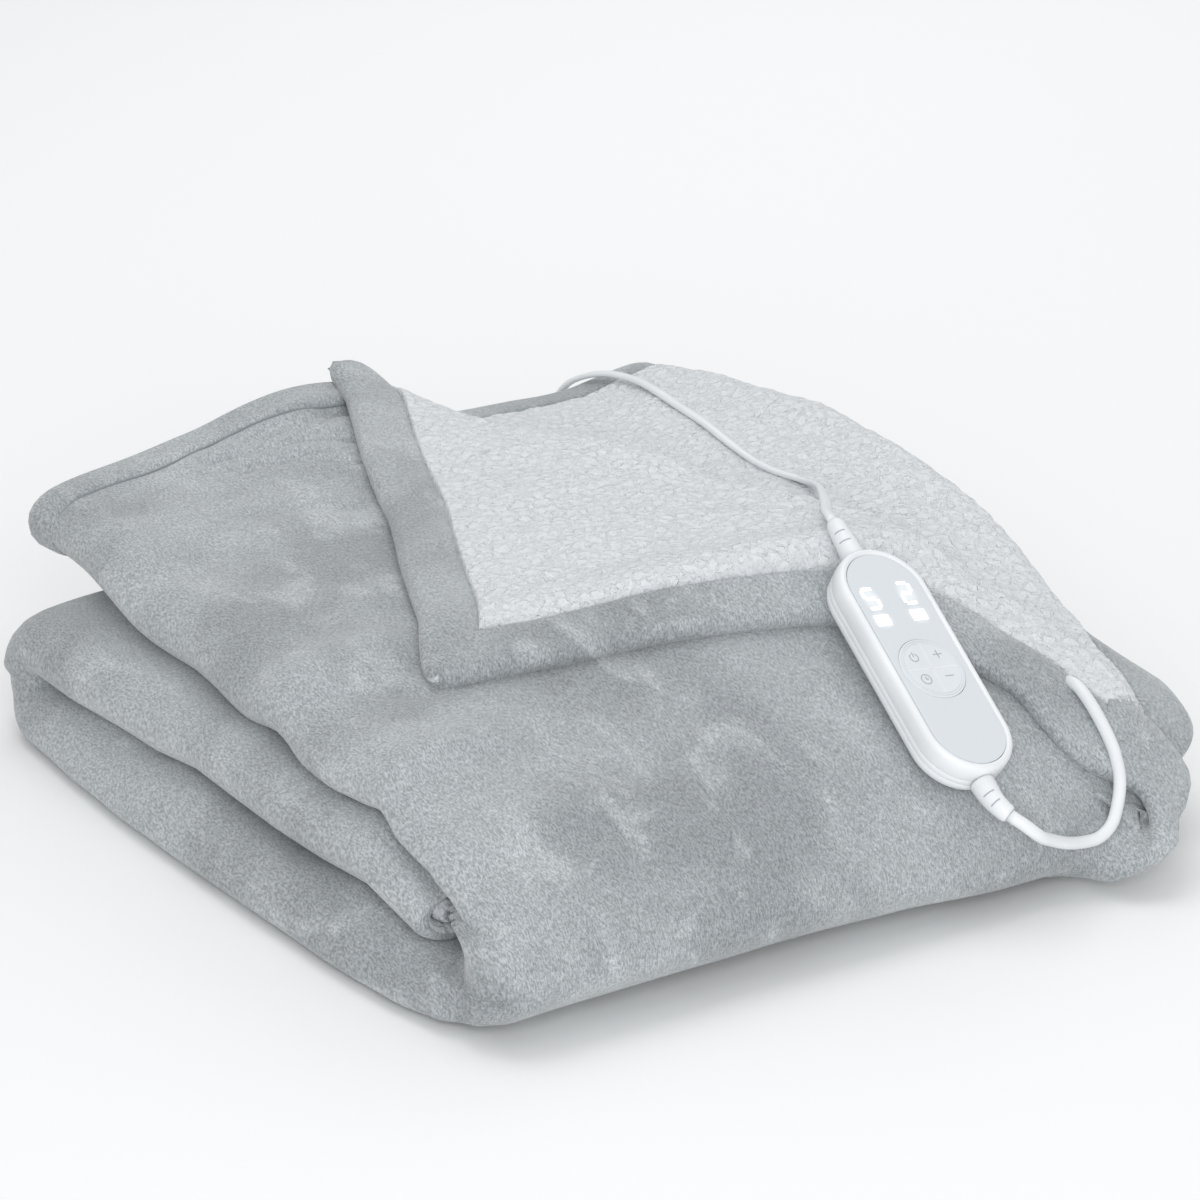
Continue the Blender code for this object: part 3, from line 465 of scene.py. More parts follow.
def smooth_route(places, spacing):
    """Pass a smooth curve through a route's places and step along it evenly."""
    route = np.array(places)
    steps = np.sqrt(np.linalg.norm(np.diff(route, axis=0), axis=1))
    stations = np.concatenate([[0.0], np.cumsum(steps)])
    slopes = np.gradient(route, stations, axis=0)
    fine = np.linspace(0.0, stations[-1], ROUTE_FINENESS * len(route))
    index = np.clip(np.searchsorted(stations, fine, side="right") - 1, 0, len(stations) - 2)
    width = (stations[index + 1] - stations[index])[:, None]
    part = (fine - stations[index])[:, None] / width
    return resample(hermite(route[index], route[index + 1], slopes[index] * width,
                            slopes[index + 1] * width, part), spacing)


def soft_noise(points, size, seed):
    """Give a smooth random value from -1 to 1 at each point, with bumps of about the given size."""
    grid = 24
    values = np.random.default_rng(seed).uniform(-1, 1, (grid, grid, grid))
    scaled = np.asarray(points) / size
    cell = np.floor(scaled).astype(int)
    part = scaled - cell
    part = part * part * (3 - 2 * part)
    total = 0.0
    for corner in np.ndindex(2, 2, 2):
        weight = 1.0
        for axis, step in enumerate(corner):
            weight = weight * (part[..., axis] if step else 1 - part[..., axis])
        total = total + weight * values[tuple((cell[..., axis] + step) % grid
                                              for axis, step in enumerate(corner))]
    return total


def lumps(across, along, size, seed):
    """Give the height, from 0 to 1, of round and oval lumps of about the given size on a plane."""
    grid = 61
    random = np.random.default_rng(seed)
    jitter = random.uniform(-0.42, 0.42, (2, grid, grid))
    swing = random.uniform(0, math.pi, (grid, grid))
    stretch = random.uniform(1.0, 1.75, (grid, grid))
    tall = random.uniform(0.55, 1.0, (grid, grid))
    cell_x = np.floor(across / size).astype(int)
    cell_y = np.floor(along / size).astype(int)
    height = np.zeros_like(across)
    for i in (-1, 0, 1):
        for j in (-1, 0, 1):
            key = ((cell_x + i) % grid, (cell_y + j) % grid)
            off_x = across / size - (cell_x + i + 0.5 + jitter[0][key])
            off_y = along / size - (cell_y + j + 0.5 + jitter[1][key])
            turn = swing[key]
            long_way = (off_x * np.cos(turn) + off_y * np.sin(turn)) / stretch[key]
            short_way = (off_y * np.cos(turn) - off_x * np.sin(turn)) * np.sqrt(stretch[key])
            near = (long_way ** 2 + short_way ** 2) / 0.64
            height = np.maximum(height, tall[key] * np.sqrt(np.clip(1 - near, 0.0, 1.0)))
    return height


# ---------------------------------------------------------------- meshes

def new_object(name, points, faces, surface, slot, nodes=()):
    """Make a mesh object from places in the pile's metres, which may stand for CAD nodes."""
    mesh = bpy.data.meshes.new(name)
    mesh.from_pydata(to_frame(points).tolist(), [], faces)
    mesh.validate()
    for one in surface if isinstance(surface, tuple) else (surface,):
        mesh.materials.append(one)
    mesh.shade_smooth()
    thing = bpy.data.objects.new(name, mesh)
    bpy.context.scene.collection.objects.link(thing)
    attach(thing, "root")
    if nodes:
        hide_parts(*nodes)
    return thing


def grid_faces(rows, columns, wrap=False, flip=False):
    """List the quads of a grid of points, stored row by row."""
    faces = []
    for row in range(rows - 1):
        for k in range(columns if wrap else columns - 1):
            after = (k + 1) % columns
            face = (row * columns + k, row * columns + after,
                    (row + 1) * columns + after, (row + 1) * columns + k)
            faces.append(face[::-1] if flip else face)
    return faces


def tube_mesh(rings):
    """List the points and faces of a closed tube through rings of points, capped at its ends."""
    count, sides = rings.shape[:2]
    faces = grid_faces(count, sides, wrap=True)
    points = np.concatenate([rings.reshape(-1, 3), rings[0].mean(0)[None], rings[-1].mean(0)[None]])
    first = count * sides
    for k in range(sides):
        after = (k + 1) % sides
        faces.append((first, after, k))
        last = (count - 1) * sides
        faces.append((first + 1, last + k, last + after))
    return points, faces


def swept(path, facing, outline):
    """Carry an outline of (along facing, across) places along a path, with facing at each point."""
    path = np.asarray(path, float)
    along = unit(np.gradient(path, axis=0))
    facing = np.asarray(facing, float)
    facing = unit(facing - (facing * along).sum(1, keepdims=True) * along)
    across = np.cross(along, facing)
    outline = np.asarray(outline, float)
    if outline.ndim == 2:
        outline = np.broadcast_to(outline, (len(path),) + outline.shape)
    return path[:, None] + outline[..., 0:1] * facing[:, None] + outline[..., 1:2] * across[:, None]


def arc(middle, radius, start, end, count):
    """List the (x, y) places along part of a circle, between two angles in degrees."""
    swings = np.radians(np.linspace(start, end, count))
    return np.stack([middle[0] + radius * np.cos(swings), middle[1] + radius * np.sin(swings)], axis=1)


def circle(radius, count, middle=(0.0, 0.0)):
    """List the places round a whole circle."""
    return arc(middle, radius, 0.0, 360.0, count + 1)[:-1]


def stadium(radius, reach, count):
    """Outline two round ends with straight sides between them."""
    return np.concatenate([arc((0.0, reach), radius, 0.0, 180.0, count),
                           arc((0.0, -reach), radius, 180.0, 360.0, count)])


def level(places, height):
    """Give (x, y) places one height."""
    return np.column_stack([places, np.full(len(places), height)])


# ---------------------------------------------------------------- materials

def new_material(name, colour, roughness, **settings):
    """Make a Principled material."""
    surface = bpy.data.materials.new(name)
    surface.use_nodes = True
    shader = surface.node_tree.nodes["Principled BSDF"]
    shader.inputs["Base Color"].default_value = (*colour, 1.0)
    shader.inputs["Roughness"].default_value = roughness
    for key, value in settings.items():
        shader.inputs[key.replace("_", " ")].default_value = value
    surface.diffuse_color = (*colour, 1.0)
    return surface


def textured(name, colour, roughness, **settings):
    """Make a material and give it with its nodes, its shader and the object's places."""
    surface = new_material(name, colour, roughness, **settings)
    tree = surface.node_tree
    place = add_node(tree, "ShaderNodeTexCoord").outputs["Object"]
    return surface, tree, tree.nodes["Principled BSDF"], place


def add_node(tree, kind, inputs=(), **settings):
    """Add a node, set its properties, and link or set its inputs."""
    node = tree.nodes.new(kind)
    for key, value in settings.items():
        setattr(node, key, value)
    for key, value in dict(inputs).items():
        socket = node.inputs[key]
        if isinstance(value, bpy.types.NodeSocket):
            tree.links.new(value, socket)
        else:
            socket.default_value = value
    return node


def noise(tree, place, scale, detail=2.0, roughness=0.5, distortion=0.0):
    """Add a noise texture and give its value."""
    node = add_node(tree, "ShaderNodeTexNoise", {"Vector": place, "Scale": scale, "Detail": detail,
                                                 "Roughness": roughness, "Distortion": distortion})
    return node.outputs["Fac"]


def blend_colours(tree, amount, first, second, kind="MIX"):
    """Mix two colours, each a socket or a plain colour."""
    inputs = {0: amount}
    for key, value in ((6, first), (7, second)):
        inputs[key] = (*value, 1.0) if isinstance(value, tuple) else value
    return add_node(tree, "ShaderNodeMix", inputs, data_type="RGBA", blend_type=kind).outputs[2]


def spread(tree, value, low, high, out_low=0.0, out_high=1.0):
    """Map a value's range smoothly to another."""
    node = add_node(tree, "ShaderNodeMapRange", {"Value": value, "From Min": low, "From Max": high,
                                                 "To Min": out_low, "To Max": out_high},
                    interpolation_type="SMOOTHSTEP")
    return node.outputs["Result"]


def bump(tree, shader, height, distance, strength=1.0, under=None):
    """Add a bump to a shader."""
    node = add_node(tree, "ShaderNodeBump", {"Height": height, "Distance": distance,
                                             "Strength": strength})
    if under is not None:
        tree.links.new(under, node.inputs["Normal"])
    tree.links.new(node.outputs["Normal"], shader.inputs["Normal"])
    return node.outputs["Normal"]


def stretched(tree, place, x, y, z, turn=0.0):
    """Turn a place about Z and scale it, for streaks."""
    node = add_node(tree, "ShaderNodeMapping", {"Vector": place, "Scale": (x, y, z),
                                                "Rotation": (0.0, 0.0, math.radians(turn))})
    return node.outputs["Vector"]


def multiplied(tree, colour, shade):
    """Multiply a colour by one value."""
    grey = add_node(tree, "ShaderNodeCombineColor", {"Red": shade, "Green": shade, "Blue": shade})
    return blend_colours(tree, 1.0, colour, grey.outputs["Color"], "MULTIPLY")


def vector_math(tree, operation, *values):
    """Add a vector sum and give its result."""
    node = add_node(tree, "ShaderNodeVectorMath", dict(enumerate(values)), operation=operation)
    return node.outputs["Value" if operation == "LENGTH" else "Vector"]


def flannel_material():
    """Short brushed pile: broad soft patches of tone and painted sheen where the pile leans, bright
    strokes of painted highlight, and fine short dashes.
    """
    surface, tree, shader, place = textured("flannel", (0.50, 0.53, 0.54), 0.62, Sheen_Weight=0.45,
                                            Sheen_Roughness=0.42, Specular_IOR_Level=0.15)
    patches = noise(tree, place, 9.0, 3.0, 0.55, 0.5)
    strokes = noise(tree, stretched(tree, place, 36.0, 17.0, 36.0, 30.0), 1.0, 4.0, 0.6, 0.8)
    upright = noise(tree, stretched(tree, place, 1700.0, 520.0, 520.0, 12.0), 1.0, 2.0, 0.55)
    crossed = noise(tree, stretched(tree, place, 560.0, 1900.0, 1900.0, -18.0), 1.0, 2.0, 0.55)
    # The dark and light patches are partly the pile's own tone and partly painted sheen where the pile
    # leans.
    colour = blend_colours(tree, spread(tree, patches, 0.36, 0.62), FLANNEL_DARK, FLANNEL_LIGHT)
    # Painted highlight: bright strokes where the pile catches the light.
    colour = blend_colours(tree, spread(tree, strokes, 0.50, 0.70, 0.0, 0.7), colour, FLANNEL_PAINTED_HIGHLIGHT)
    colour = multiplied(tree, colour, spread(tree, upright, 0.30, 0.70, 0.72, 1.28))
    colour = multiplied(tree, colour, spread(tree, crossed, 0.30, 0.70, 0.88, 1.12))
    tree.links.new(colour, shader.inputs["Base Color"])
    low = bump(tree, shader, strokes, 0.0020, 0.45)
    low = bump(tree, shader, crossed, 0.0006, 0.5, low)
    bump(tree, shader, upright, 0.0006, 0.7, low)
    return surface


def fleece_material():
    """Curled, tufted pile: cool white, with painted shade in the low places and in thin crevices between
    its clumps.
    """
    surface, tree, shader, place = textured("fleece", (0.79, 0.81, 0.825), 0.85, Sheen_Weight=0.35,
                                            Sheen_Roughness=0.6, Specular_IOR_Level=0.10)
    height = add_node(tree, "ShaderNodeAttribute", attribute_name="tuft_shade").outputs["Fac"]
    wobble = add_node(tree, "ShaderNodeTexNoise", {"Vector": place, "Scale": 260.0, "Detail": 3.0})
    shift = vector_math(tree, "MULTIPLY_ADD", wobble.outputs["Color"], (0.0060,) * 3, place)
    cells, curls = [add_node(tree, "ShaderNodeTexVoronoi", {"Vector": shift, "Scale": scale},
                             feature="DISTANCE_TO_EDGE").outputs["Distance"]
                    for scale in (155.0, 330.0)]
    fuzz = noise(tree, place, 700.0, 4.0, 0.65, 0.4)
    # Painted shade: the colour goes from the tips' white down to the shade colour where the tuft attribute
    # is low, in the valleys between tufts and under the hem bands.
    colour = blend_colours(tree, spread(tree, height, 0.0, 0.6), FLEECE_VALLEY_SHADE, FLEECE_TIP)
    # Painted shade in the crevices: the cell and curl edges darken the colour. The fuzz is random tone.
    for value, low, high, shade, full in ((cells, 0.0, 0.16, 0.90, 1.0), (curls, 0.0, 0.24, 0.95, 1.0),
                                          (fuzz, 0.30, 0.70, 0.94, 1.03)):
        colour = multiplied(tree, colour, spread(tree, value, low, high, shade, full))
    tree.links.new(colour, shader.inputs["Base Color"])
    low = bump(tree, shader, spread(tree, cells, 0.0, 0.25), 0.0012, 0.5)
    low = bump(tree, shader, spread(tree, curls, 0.0, 0.35), 0.0007, 0.5, low)
    bump(tree, shader, fuzz, 0.0007, 0.6, low)
    return surface


def panel_material():
    """The face panel: pale grey-blue plastic, with the display's light spreading through it."""
    surface, tree, shader, place = textured("face_plastic", (0.72, 0.75, 0.775), 0.36,
                                            Coat_Weight=0.1, Coat_Roughness=0.2,
                                            Emission_Color=(1.0, 1.0, 1.0, 1.0))
    local = add_node(tree, "ShaderNodeMapping", {
        "Vector": place, "Location": tuple(to_frame(CONTROLLER_PLACE)),
        "Rotation": tuple(math.radians(angle) for angle in CONTROLLER_TURN)},
        vector_type="TEXTURE").outputs[0]
    glow = None
    for x, y, wide, tall in GLOWS:
        off = vector_math(tree, "SUBTRACT", local, (x, y, FACE_HEIGHT))
        scaled = vector_math(tree, "MULTIPLY", off, (1 / wide, 1 / tall, 0.0))
        near = spread(tree, vector_math(tree, "LENGTH", scaled), 0.35, 1.0, 1.0, 0.0)
        glow = near if glow is None else add_node(tree, "ShaderNodeMath", {0: glow, 1: near},
                                                  operation="ADD").outputs[0]
    strength = add_node(tree, "ShaderNodeMath", {0: glow, 1: GLOW_STRENGTH}, operation="MULTIPLY")
    tree.links.new(strength.outputs[0], shader.inputs["Emission Strength"])
    bump(tree, shader, noise(tree, place, PLASTIC_GRAIN), 0.00003, 0.5)
    return surface


def plastic(name, colour, roughness, coat=0.0):
    """Moulded plastic with a fine grain and faint unevenness."""
    surface, tree, shader, place = textured(name, colour, roughness, Coat_Weight=coat,
                                            Coat_Roughness=0.12, Specular_IOR_Level=0.45)
    fine = noise(tree, place, PLASTIC_GRAIN)
    broad = noise(tree, place, 35.0)
    shade = tuple(0.955 * value for value in colour)
    tree.links.new(blend_colours(tree, spread(tree, broad, 0.35, 0.65), shade, colour),
                   shader.inputs["Base Color"])
    tree.links.new(spread(tree, broad, 0.3, 0.7, roughness - 0.03, roughness + 0.05),
                   shader.inputs["Roughness"])
    bump(tree, shader, fine, 0.00004, 0.6)
    return surface


def brass_material():
    """Bright drawn metal for the plug's pins."""
    surface, tree, shader, place = textured("pin_metal", (0.72, 0.60, 0.38), 0.28, Metallic=1.0)
    lines = noise(tree, stretched(tree, place, 3000.0, 200.0, 3000.0, 30.0), 1.0)
    tree.links.new(blend_colours(tree, lines, (0.60, 0.48, 0.28), (0.78, 0.66, 0.44)),
                   shader.inputs["Base Color"])
    tree.links.new(spread(tree, lines, 0.3, 0.7, 0.22, 0.38), shader.inputs["Roughness"])
    return surface


# ---------------------------------------------------------------- the cloth

FRONT_START = TOP_ROWS[0][0] + NOSE - FRONT_CENTRE
LOW_START = FRONT_START + math.pi * FRONT_RADIUS
BACK_START = LOW_START + BACK_CENTRE - FRONT_CENTRE
TUCKED_START = BACK_START + math.pi * BACK_RADIUS
CLOTH_END = TUCKED_START + BACK_CENTRE - TUCKED_END


def row_table():
    """List how the section changes with the distance from the cloth's back end."""
    table = [(TOP_ROWS[0][0] - y, *row) for y, *row in TOP_ROWS]
    table += [(FRONT_START + math.radians(swing - 90) * FRONT_RADIUS, *row) for swing, *row in FRONT_ROWS]
    return table + [(LOW_START + 0.05, *LOW_ROW), (BACK_START, *BACK_ROW), (TUCKED_START, *BACK_ROW),
                    (TUCKED_START + 0.05, *TUCKED_ROW), (CLOTH_END, *TUCKED_ROW)]


def layer_line(travelled):
    """Give the layer's middle and its upward side at distances from the cloth's back end."""
    stretch = np.searchsorted((FRONT_START, LOW_START, BACK_START, TUCKED_START), travelled, side="right")
    front = math.pi / 2 + (travelled - FRONT_START) / FRONT_RADIUS
    back = -math.pi / 2 + (travelled - BACK_START) / BACK_RADIUS
    y = (TOP_ROWS[0][0] + NOSE - travelled, FRONT_CENTRE + FRONT_RADIUS * np.cos(front),
         FRONT_CENTRE + travelled - LOW_START, BACK_CENTRE + BACK_RADIUS * np.cos(back),
         BACK_CENTRE - (travelled - TUCKED_START))
    height = (TOP_MID, CENTRE_MID + FRONT_RADIUS * np.sin(front), LOW_MID,
              LOW_MID + BACK_RADIUS + BACK_RADIUS * np.sin(back), CENTRE_MID)
    side_y = (0.0, np.cos(front), 0.0, np.cos(back), 0.0)
    side_z = (1.0, np.sin(front), -1.0, np.sin(back), 1.0)
    return [np.choose(stretch, np.broadcast_arrays(*value, travelled)[:5])
            for value in (y, height, side_y, side_z)]


# How many steps each stretch of the section has, from the turned corner's edge to the ply beneath.
SECTION_STEPS = {"turned": 34, "roll": 12, "top": 58, "outer": 16, "under": 10, "loop": 10,
                 "inside": 6, "inner": 6, "beneath": 38}


def sections(travelled, steps, beneath_from=0.0):
    """Give the cloth's middle line across each row as (x, height in the layer) points."""
    table = row_table()
    hem, crest, turn, hem_b, right = [read(table, k, travelled)[:, None] for k in range(1, 6)]
    top = LAYER - PLY / 2
    angle = np.radians(np.maximum(turn, 0.5))
    bend = ROLL_LENGTH / angle
    turned = np.sin(angle / 2) ** 2
    free = np.maximum(crest - hem, 0.004)
    dip = (2 * ROLL_RADIUS - PLY_PITCH) * turned ** LIE_DOWN_POWER
    pieces = []

    def add(x, height):
        pieces.append(np.stack(np.broadcast_arrays(x, height + 0 * x), axis=-1))

    def share(name, end=False):
        return np.linspace(0.0, 1.0, steps[name] + 1)[None, : None if end else -1]

    if steps["turned"]:
        out = free * (1 - share("turned"))
        add(crest + bend * np.sin(angle) + out * np.cos(angle),
            top + bend * (1 - np.cos(angle)) + out * np.sin(angle) - dip * (1 - np.exp(-out / LIE_DOWN)))
    if steps["roll"]:
        part = 1 - share("roll", end=not steps["top"])
        add(crest + bend * np.sin(angle * part), top + bend * (1 - np.cos(angle * part)))
    if steps["top"]:
        add(crest + (FOLD_CENTRE_X - crest) * share("top"), top)
        swing = np.radians(90 + 180 * share("outer"))
        add(FOLD_CENTRE_X + OUTER_RADIUS * np.cos(swing) + 0 * crest,
            LAYER / 2 + OUTER_RADIUS * np.sin(swing))
        inside = right - INNER_RADIUS
        add(FOLD_CENTRE_X + (inside - FOLD_CENTRE_X) * share("under"), PLY / 2)
        swing = np.radians(-90 + 180 * share("loop"))
        add(inside + INNER_RADIUS * np.cos(swing), PLY / 2 + INNER_RADIUS + INNER_RADIUS * np.sin(swing))
        add(inside + (FOLD_CENTRE_X - inside) * share("inside"), PLY / 2 + PLY_PITCH)
        swing = np.radians(270 - 180 * share("inner"))
        add(FOLD_CENTRE_X + INNER_RADIUS * np.cos(swing) + 0 * crest,
            LAYER / 2 + INNER_RADIUS * np.sin(swing))
    if steps["beneath"]:
        start = FOLD_CENTRE_X if steps["top"] else crest - beneath_from
        part = share("beneath", end=True)
        if steps["top"]:
            part = np.where(part < 0.5, 1.76 * part, 0.88 + 0.24 * (part - 0.5))
        add(start + (hem_b - start) * part, PLY / 2 + 2 * PLY_PITCH)
    return np.concatenate(pieces, axis=1)


def squash(points):
    """Give the neat pile its uneven heights, its blunt front and its slanted edges."""
    x, y, z = np.moveaxis(points, -1, 0)
    in_top = z > TOP_FLOOR
    in_low = z < LOW_FLOOR
    front = np.clip(1 - y / FRONT_CENTRE, 0.0, 1.0)
    blunt = FRONT_CENTRE - NOSE + NOSE_REACH
    y = np.where(y < FRONT_CENTRE, y * blunt / FRONT_CENTRE - NOSE_REACH, y - NOSE)
    y = y - LOW_NOSE * front * ramp(z, 0.0, 0.02) * (1 - ramp(z, 0.04, 0.10))
    foot = read(FRONT_FOOT, 1, x)
    y = y - foot * front * (1 - ramp(z, 0.01, 0.06))
    shares = [smooth(HEIGHT_X, row[1:], x) for row in HEIGHT_ROWS]
    z = z * smooth(column(HEIGHT_ROWS, 0), shares, y)
    corner = ramp(y, 0.27, 0.42) * (1 - ramp(x, 0.02, 0.12))
    z = z + np.where(in_top, 0.013 * corner, 0.0)
    top, centre, low = [read(LEFT_SIDES, k, y) for k in (1, 2, 3)]
    x = x + np.where(in_top, top, np.where(in_low, low, centre)) * (1 - ramp(x, 0.0, 0.25))
    x = x - LEFT_FOOT * (1 - ramp(z, 0.002, 0.020)) * (1 - ramp(x, 0.0, 0.05))
    return np.stack([x, y, np.maximum(z, 0.0)], axis=-1)


def end_round(travelled):
    """Round the cloth's two cut ends: the share of its thickness at each row."""
    near = np.minimum(travelled, CLOTH_END - travelled) / END_ROUND
    return np.sqrt(1 - (1 - np.clip(near, 0.03, 1.0)) ** 2)


def curl(flannel, fleece, travelled, side_y, side_z):
    """Bend the free right end of the ply beneath down over the edge of the pile."""
    middle = (flannel + fleece) / 2
    gain = read(CURL_ROWS, 1, travelled)[:, None]
    gain = np.maximum(gain, 0.001)
    past = np.maximum(middle[..., 0] - CURL_FROM, 0.0)
    angle = np.minimum(gain * past / CURL_RADIUS, CURL_MOST)
    straight = past - angle * CURL_RADIUS / gain
    reach = CURL_RADIUS / gain * np.sin(angle) + straight * np.cos(angle)
    drop = CURL_RADIUS / gain * (1 - np.cos(angle)) + straight * np.sin(angle)
    up = np.stack([0 * side_y, side_y, side_z], axis=-1)
    right = np.array((1.0, 0.0, 0.0))
    centre = middle + (reach - past)[..., None] * right - drop[..., None] * up
    bent = []
    for side in (flannel, fleece):
        off = side - middle
        out = (off * up).sum(-1)
        across = off[..., 0]
        rest = off - out[..., None] * up - across[..., None] * right
        turned_x = across * np.cos(angle) + out * np.sin(angle)
        turned_up = out * np.cos(angle) - across * np.sin(angle)
        bent.append(centre + rest + turned_x[..., None] * right + turned_up[..., None] * up)
    return bent


def cloth_sides(travelled, steps, beneath_from=0.0):
    """Give the flannel side, the fleece side and the middle of the cloth as grids of places."""
    y, height, side_y, side_z = [value[:, None] for value in layer_line(travelled)]
    middle = sections(travelled, steps, beneath_from)
    along = unit(np.gradient(middle, axis=1))
    normals = np.stack([along[..., 1], -along[..., 0]], axis=-1)
    half = (PLY / 2 * end_round(travelled))[:, None, None]
    sides = []
    for shift in (half, -half):
        moved = middle + normals * shift
        out = moved[..., 1] - LAYER / 2
        places = np.stack([moved[..., 0], y + side_y * out, height + side_z * out], axis=-1)
        sides.append(squash(places))
    if steps["beneath"]:
        first = middle.shape[1] - steps["beneath"] - 1
        bent = curl(sides[0][:, first:], sides[1][:, first:], travelled, side_y, side_z)
        sides = [np.concatenate([side[:, :first], part], axis=1) for side, part in zip(sides, bent)]
    flannel, fleece = [dress(side) for side in sides]
    flannel = crease(flannel, unit(flannel - fleece))
    return flannel, fleece, (flannel + fleece) / 2


def gap_to_line(points, line):
    """Measure how far each point is from a line of places."""
    line = np.asarray(line, float)
    gap = np.full(points.shape[:-1], 1.0)
    for first, last in zip(line[:-1], line[1:]):
        way = last - first
        part = np.clip(((points - first) @ way) / (way @ way), 0.0, 1.0)
        gap = np.minimum(gap, np.linalg.norm(points - first - part[..., None] * way, axis=-1))
    return gap


def crease(places, outward):
    """Press the listed creases into the flannel, with a soft ridge on each side of them."""
    push = np.zeros(places.shape[:-1])
    for depth, width, line in CREASES:
        gap = gap_to_line(places * CREASE_REACH, np.asarray(line) * CREASE_REACH)
        push = push + depth * (np.exp(-(gap / width) ** 2)
                               - 0.35 * np.exp(-((gap - 2.3 * width) / (1.2 * width)) ** 2))
    moved = places - outward * push[..., None]
    moved[..., 2] = np.maximum(moved[..., 2], 0.0)
    return moved


def on_controller(points):
    """Move places from the controller's own metres to the pile's."""
    return np.asarray(points, float) @ CONTROLLER_AXES.T + np.array(CONTROLLER_PLACE)


def press(points):
    """Press the cloth down under the controller that lies on it."""
    local = (points - np.array(CONTROLLER_PLACE)) @ CONTROLLER_AXES
    radius = CONTROLLER_WIDTH / 2
    reach = CONTROLLER_LENGTH / 2 - radius
    past_end = np.maximum(np.abs(local[..., 1]) - reach, 0.0)
    outside = np.hypot(local[..., 0], past_end) - radius
    excess = np.maximum(local[..., 2] + PRESS_DEPTH, 0.0) * (1 - ramp(outside, -0.002, 0.005))
    excess = excess * (1 - ramp(local[..., 2], 0.025, 0.035))
    return points - excess[..., None] * CONTROLLER_AXES[:, 2]


def dress(points):
    """Add what the cloth's weight and handling did: a swell, lobes, soft waves, and the dent."""
    x, y, z = points[..., 0], points[..., 1], points[..., 2]
    behind = y - read(RIDGE, 1, x)
    width = np.where(behind > 0, RIDGE_BACK, RIDGE_FRONT)
    rise = read(RIDGE, 2, x) * np.exp(-(behind / width) ** 2)
    rise = rise * ramp(z, *RIDGE_FADE)
    peak = PEAK_HEIGHT * np.exp(-((x - PEAK_X) / PEAK_REACH) ** 2)
    rise = rise + peak * ramp(y, 0.400, 0.440) * ramp(z, *PEAK_FADE)
    left = 1 - ramp(x, 0.03, 0.10)
    rise = rise + left * read(LEFT_LOBES, 1, y) * ramp(z, *UPPER_FOLDS)
    low = ramp(z, *LOWER_FOLDS) * (1 - ramp(z, *LOWER_FOLDS_END))
    rise = rise + left * read(LEFT_LOBES, 2, y) * low
    spine = on_controller(((0.0, -0.05, 0.0), (0.0, 0.05, 0.0)))
    near = np.minimum.reduce([gap_to_line(points, MAINS_ROUTE[:ON_PILE]), gap_to_line(points, LEAD_ROUTE),
                              gap_to_line(points, spine) - 0.02])
    free = ramp(near, *WAVES_FROM)
    waves = [sum(rise * soft_noise(points + shift, size, seed + axis) for rise, shift, size, seed in WAVES)
             for axis in range(3)]
    moved = points + (free * ramp(z, 0.0, 0.02))[..., None] * np.stack(waves, axis=-1)
    moved[..., 2] = np.maximum(moved[..., 2] + rise, 0.0)
    return press(moved)


def cloth_rows():
    """List the distances of the cloth's rows from its back end, closer at its ends and at the corner."""
    corner = TOP_ROWS[0][0] - CORNER_Y
    stretches = ((0.005, 11), (0.03, 58), (corner - 0.015, 52), (FRONT_START, 52), (LOW_START, 14),
                 (BACK_START, 14), (TUCKED_START, 10), (CLOTH_END - 0.006, 0))
    parts = [np.linspace(start, end, count)[:-1]
             for (start, count), (end, _) in zip(stretches[:-1], stretches[1:])]
    return np.concatenate([(0.0, 0.0004, 0.0011, 0.0020, 0.0032), *parts,
                           CLOTH_END - np.array((0.006, 0.0035, 0.0015, 0.0))])


def add_cloth(flannel_surface, fleece_surface):
    """Add the folded cloth as one closed sheet with a flannel and a fleece side."""
    travelled = cloth_rows()
    flannel, fleece, middle = cloth_sides(travelled, SECTION_STEPS)
    rows, columns = middle.shape[:2]
    rims = [middle[:, end] + RIM_SHARE * PLY * unit(middle[:, end] - middle[:, beside])
            for end, beside in ((slice(0, 1), slice(1, 2)), (slice(-1, None), slice(-2, -1)))]
    loop = np.concatenate([rims[0], flannel, rims[1], fleece[:, ::-1]], axis=1)
    ring = loop.shape[1]
    faces = grid_faces(rows, ring, wrap=True)
    kinds = np.zeros((rows - 1, ring), int)
    kinds[:, columns + 2:] = 1
    kinds = kinds.reshape(-1).tolist()
    for start, flip in ((0, False), ((rows - 1) * ring, True)):
        for k in range(columns + 1):
            quad = list(dict.fromkeys((start + k, start + (ring - k) % ring, start + ring - 1 - k,
                                       start + k + 1)))
            if len(quad) > 2:
                faces.append(tuple(quad[::-1] if flip else quad))
                kinds.append(0)
    points = loop.reshape(-1, 3)
    thing = new_object("throw_sheet", points, faces, (flannel_surface, fleece_surface), "grey_flannel",
                       ("throw_cloth",))
    thing.data.polygons.foreach_set("material_index", kinds[: len(thing.data.polygons)])
    tree = BVHTree.FromPolygons(points.tolist(), faces)
    return thing, tree, travelled, flannel, fleece, middle


# ---------------------------------------------------------------- hems

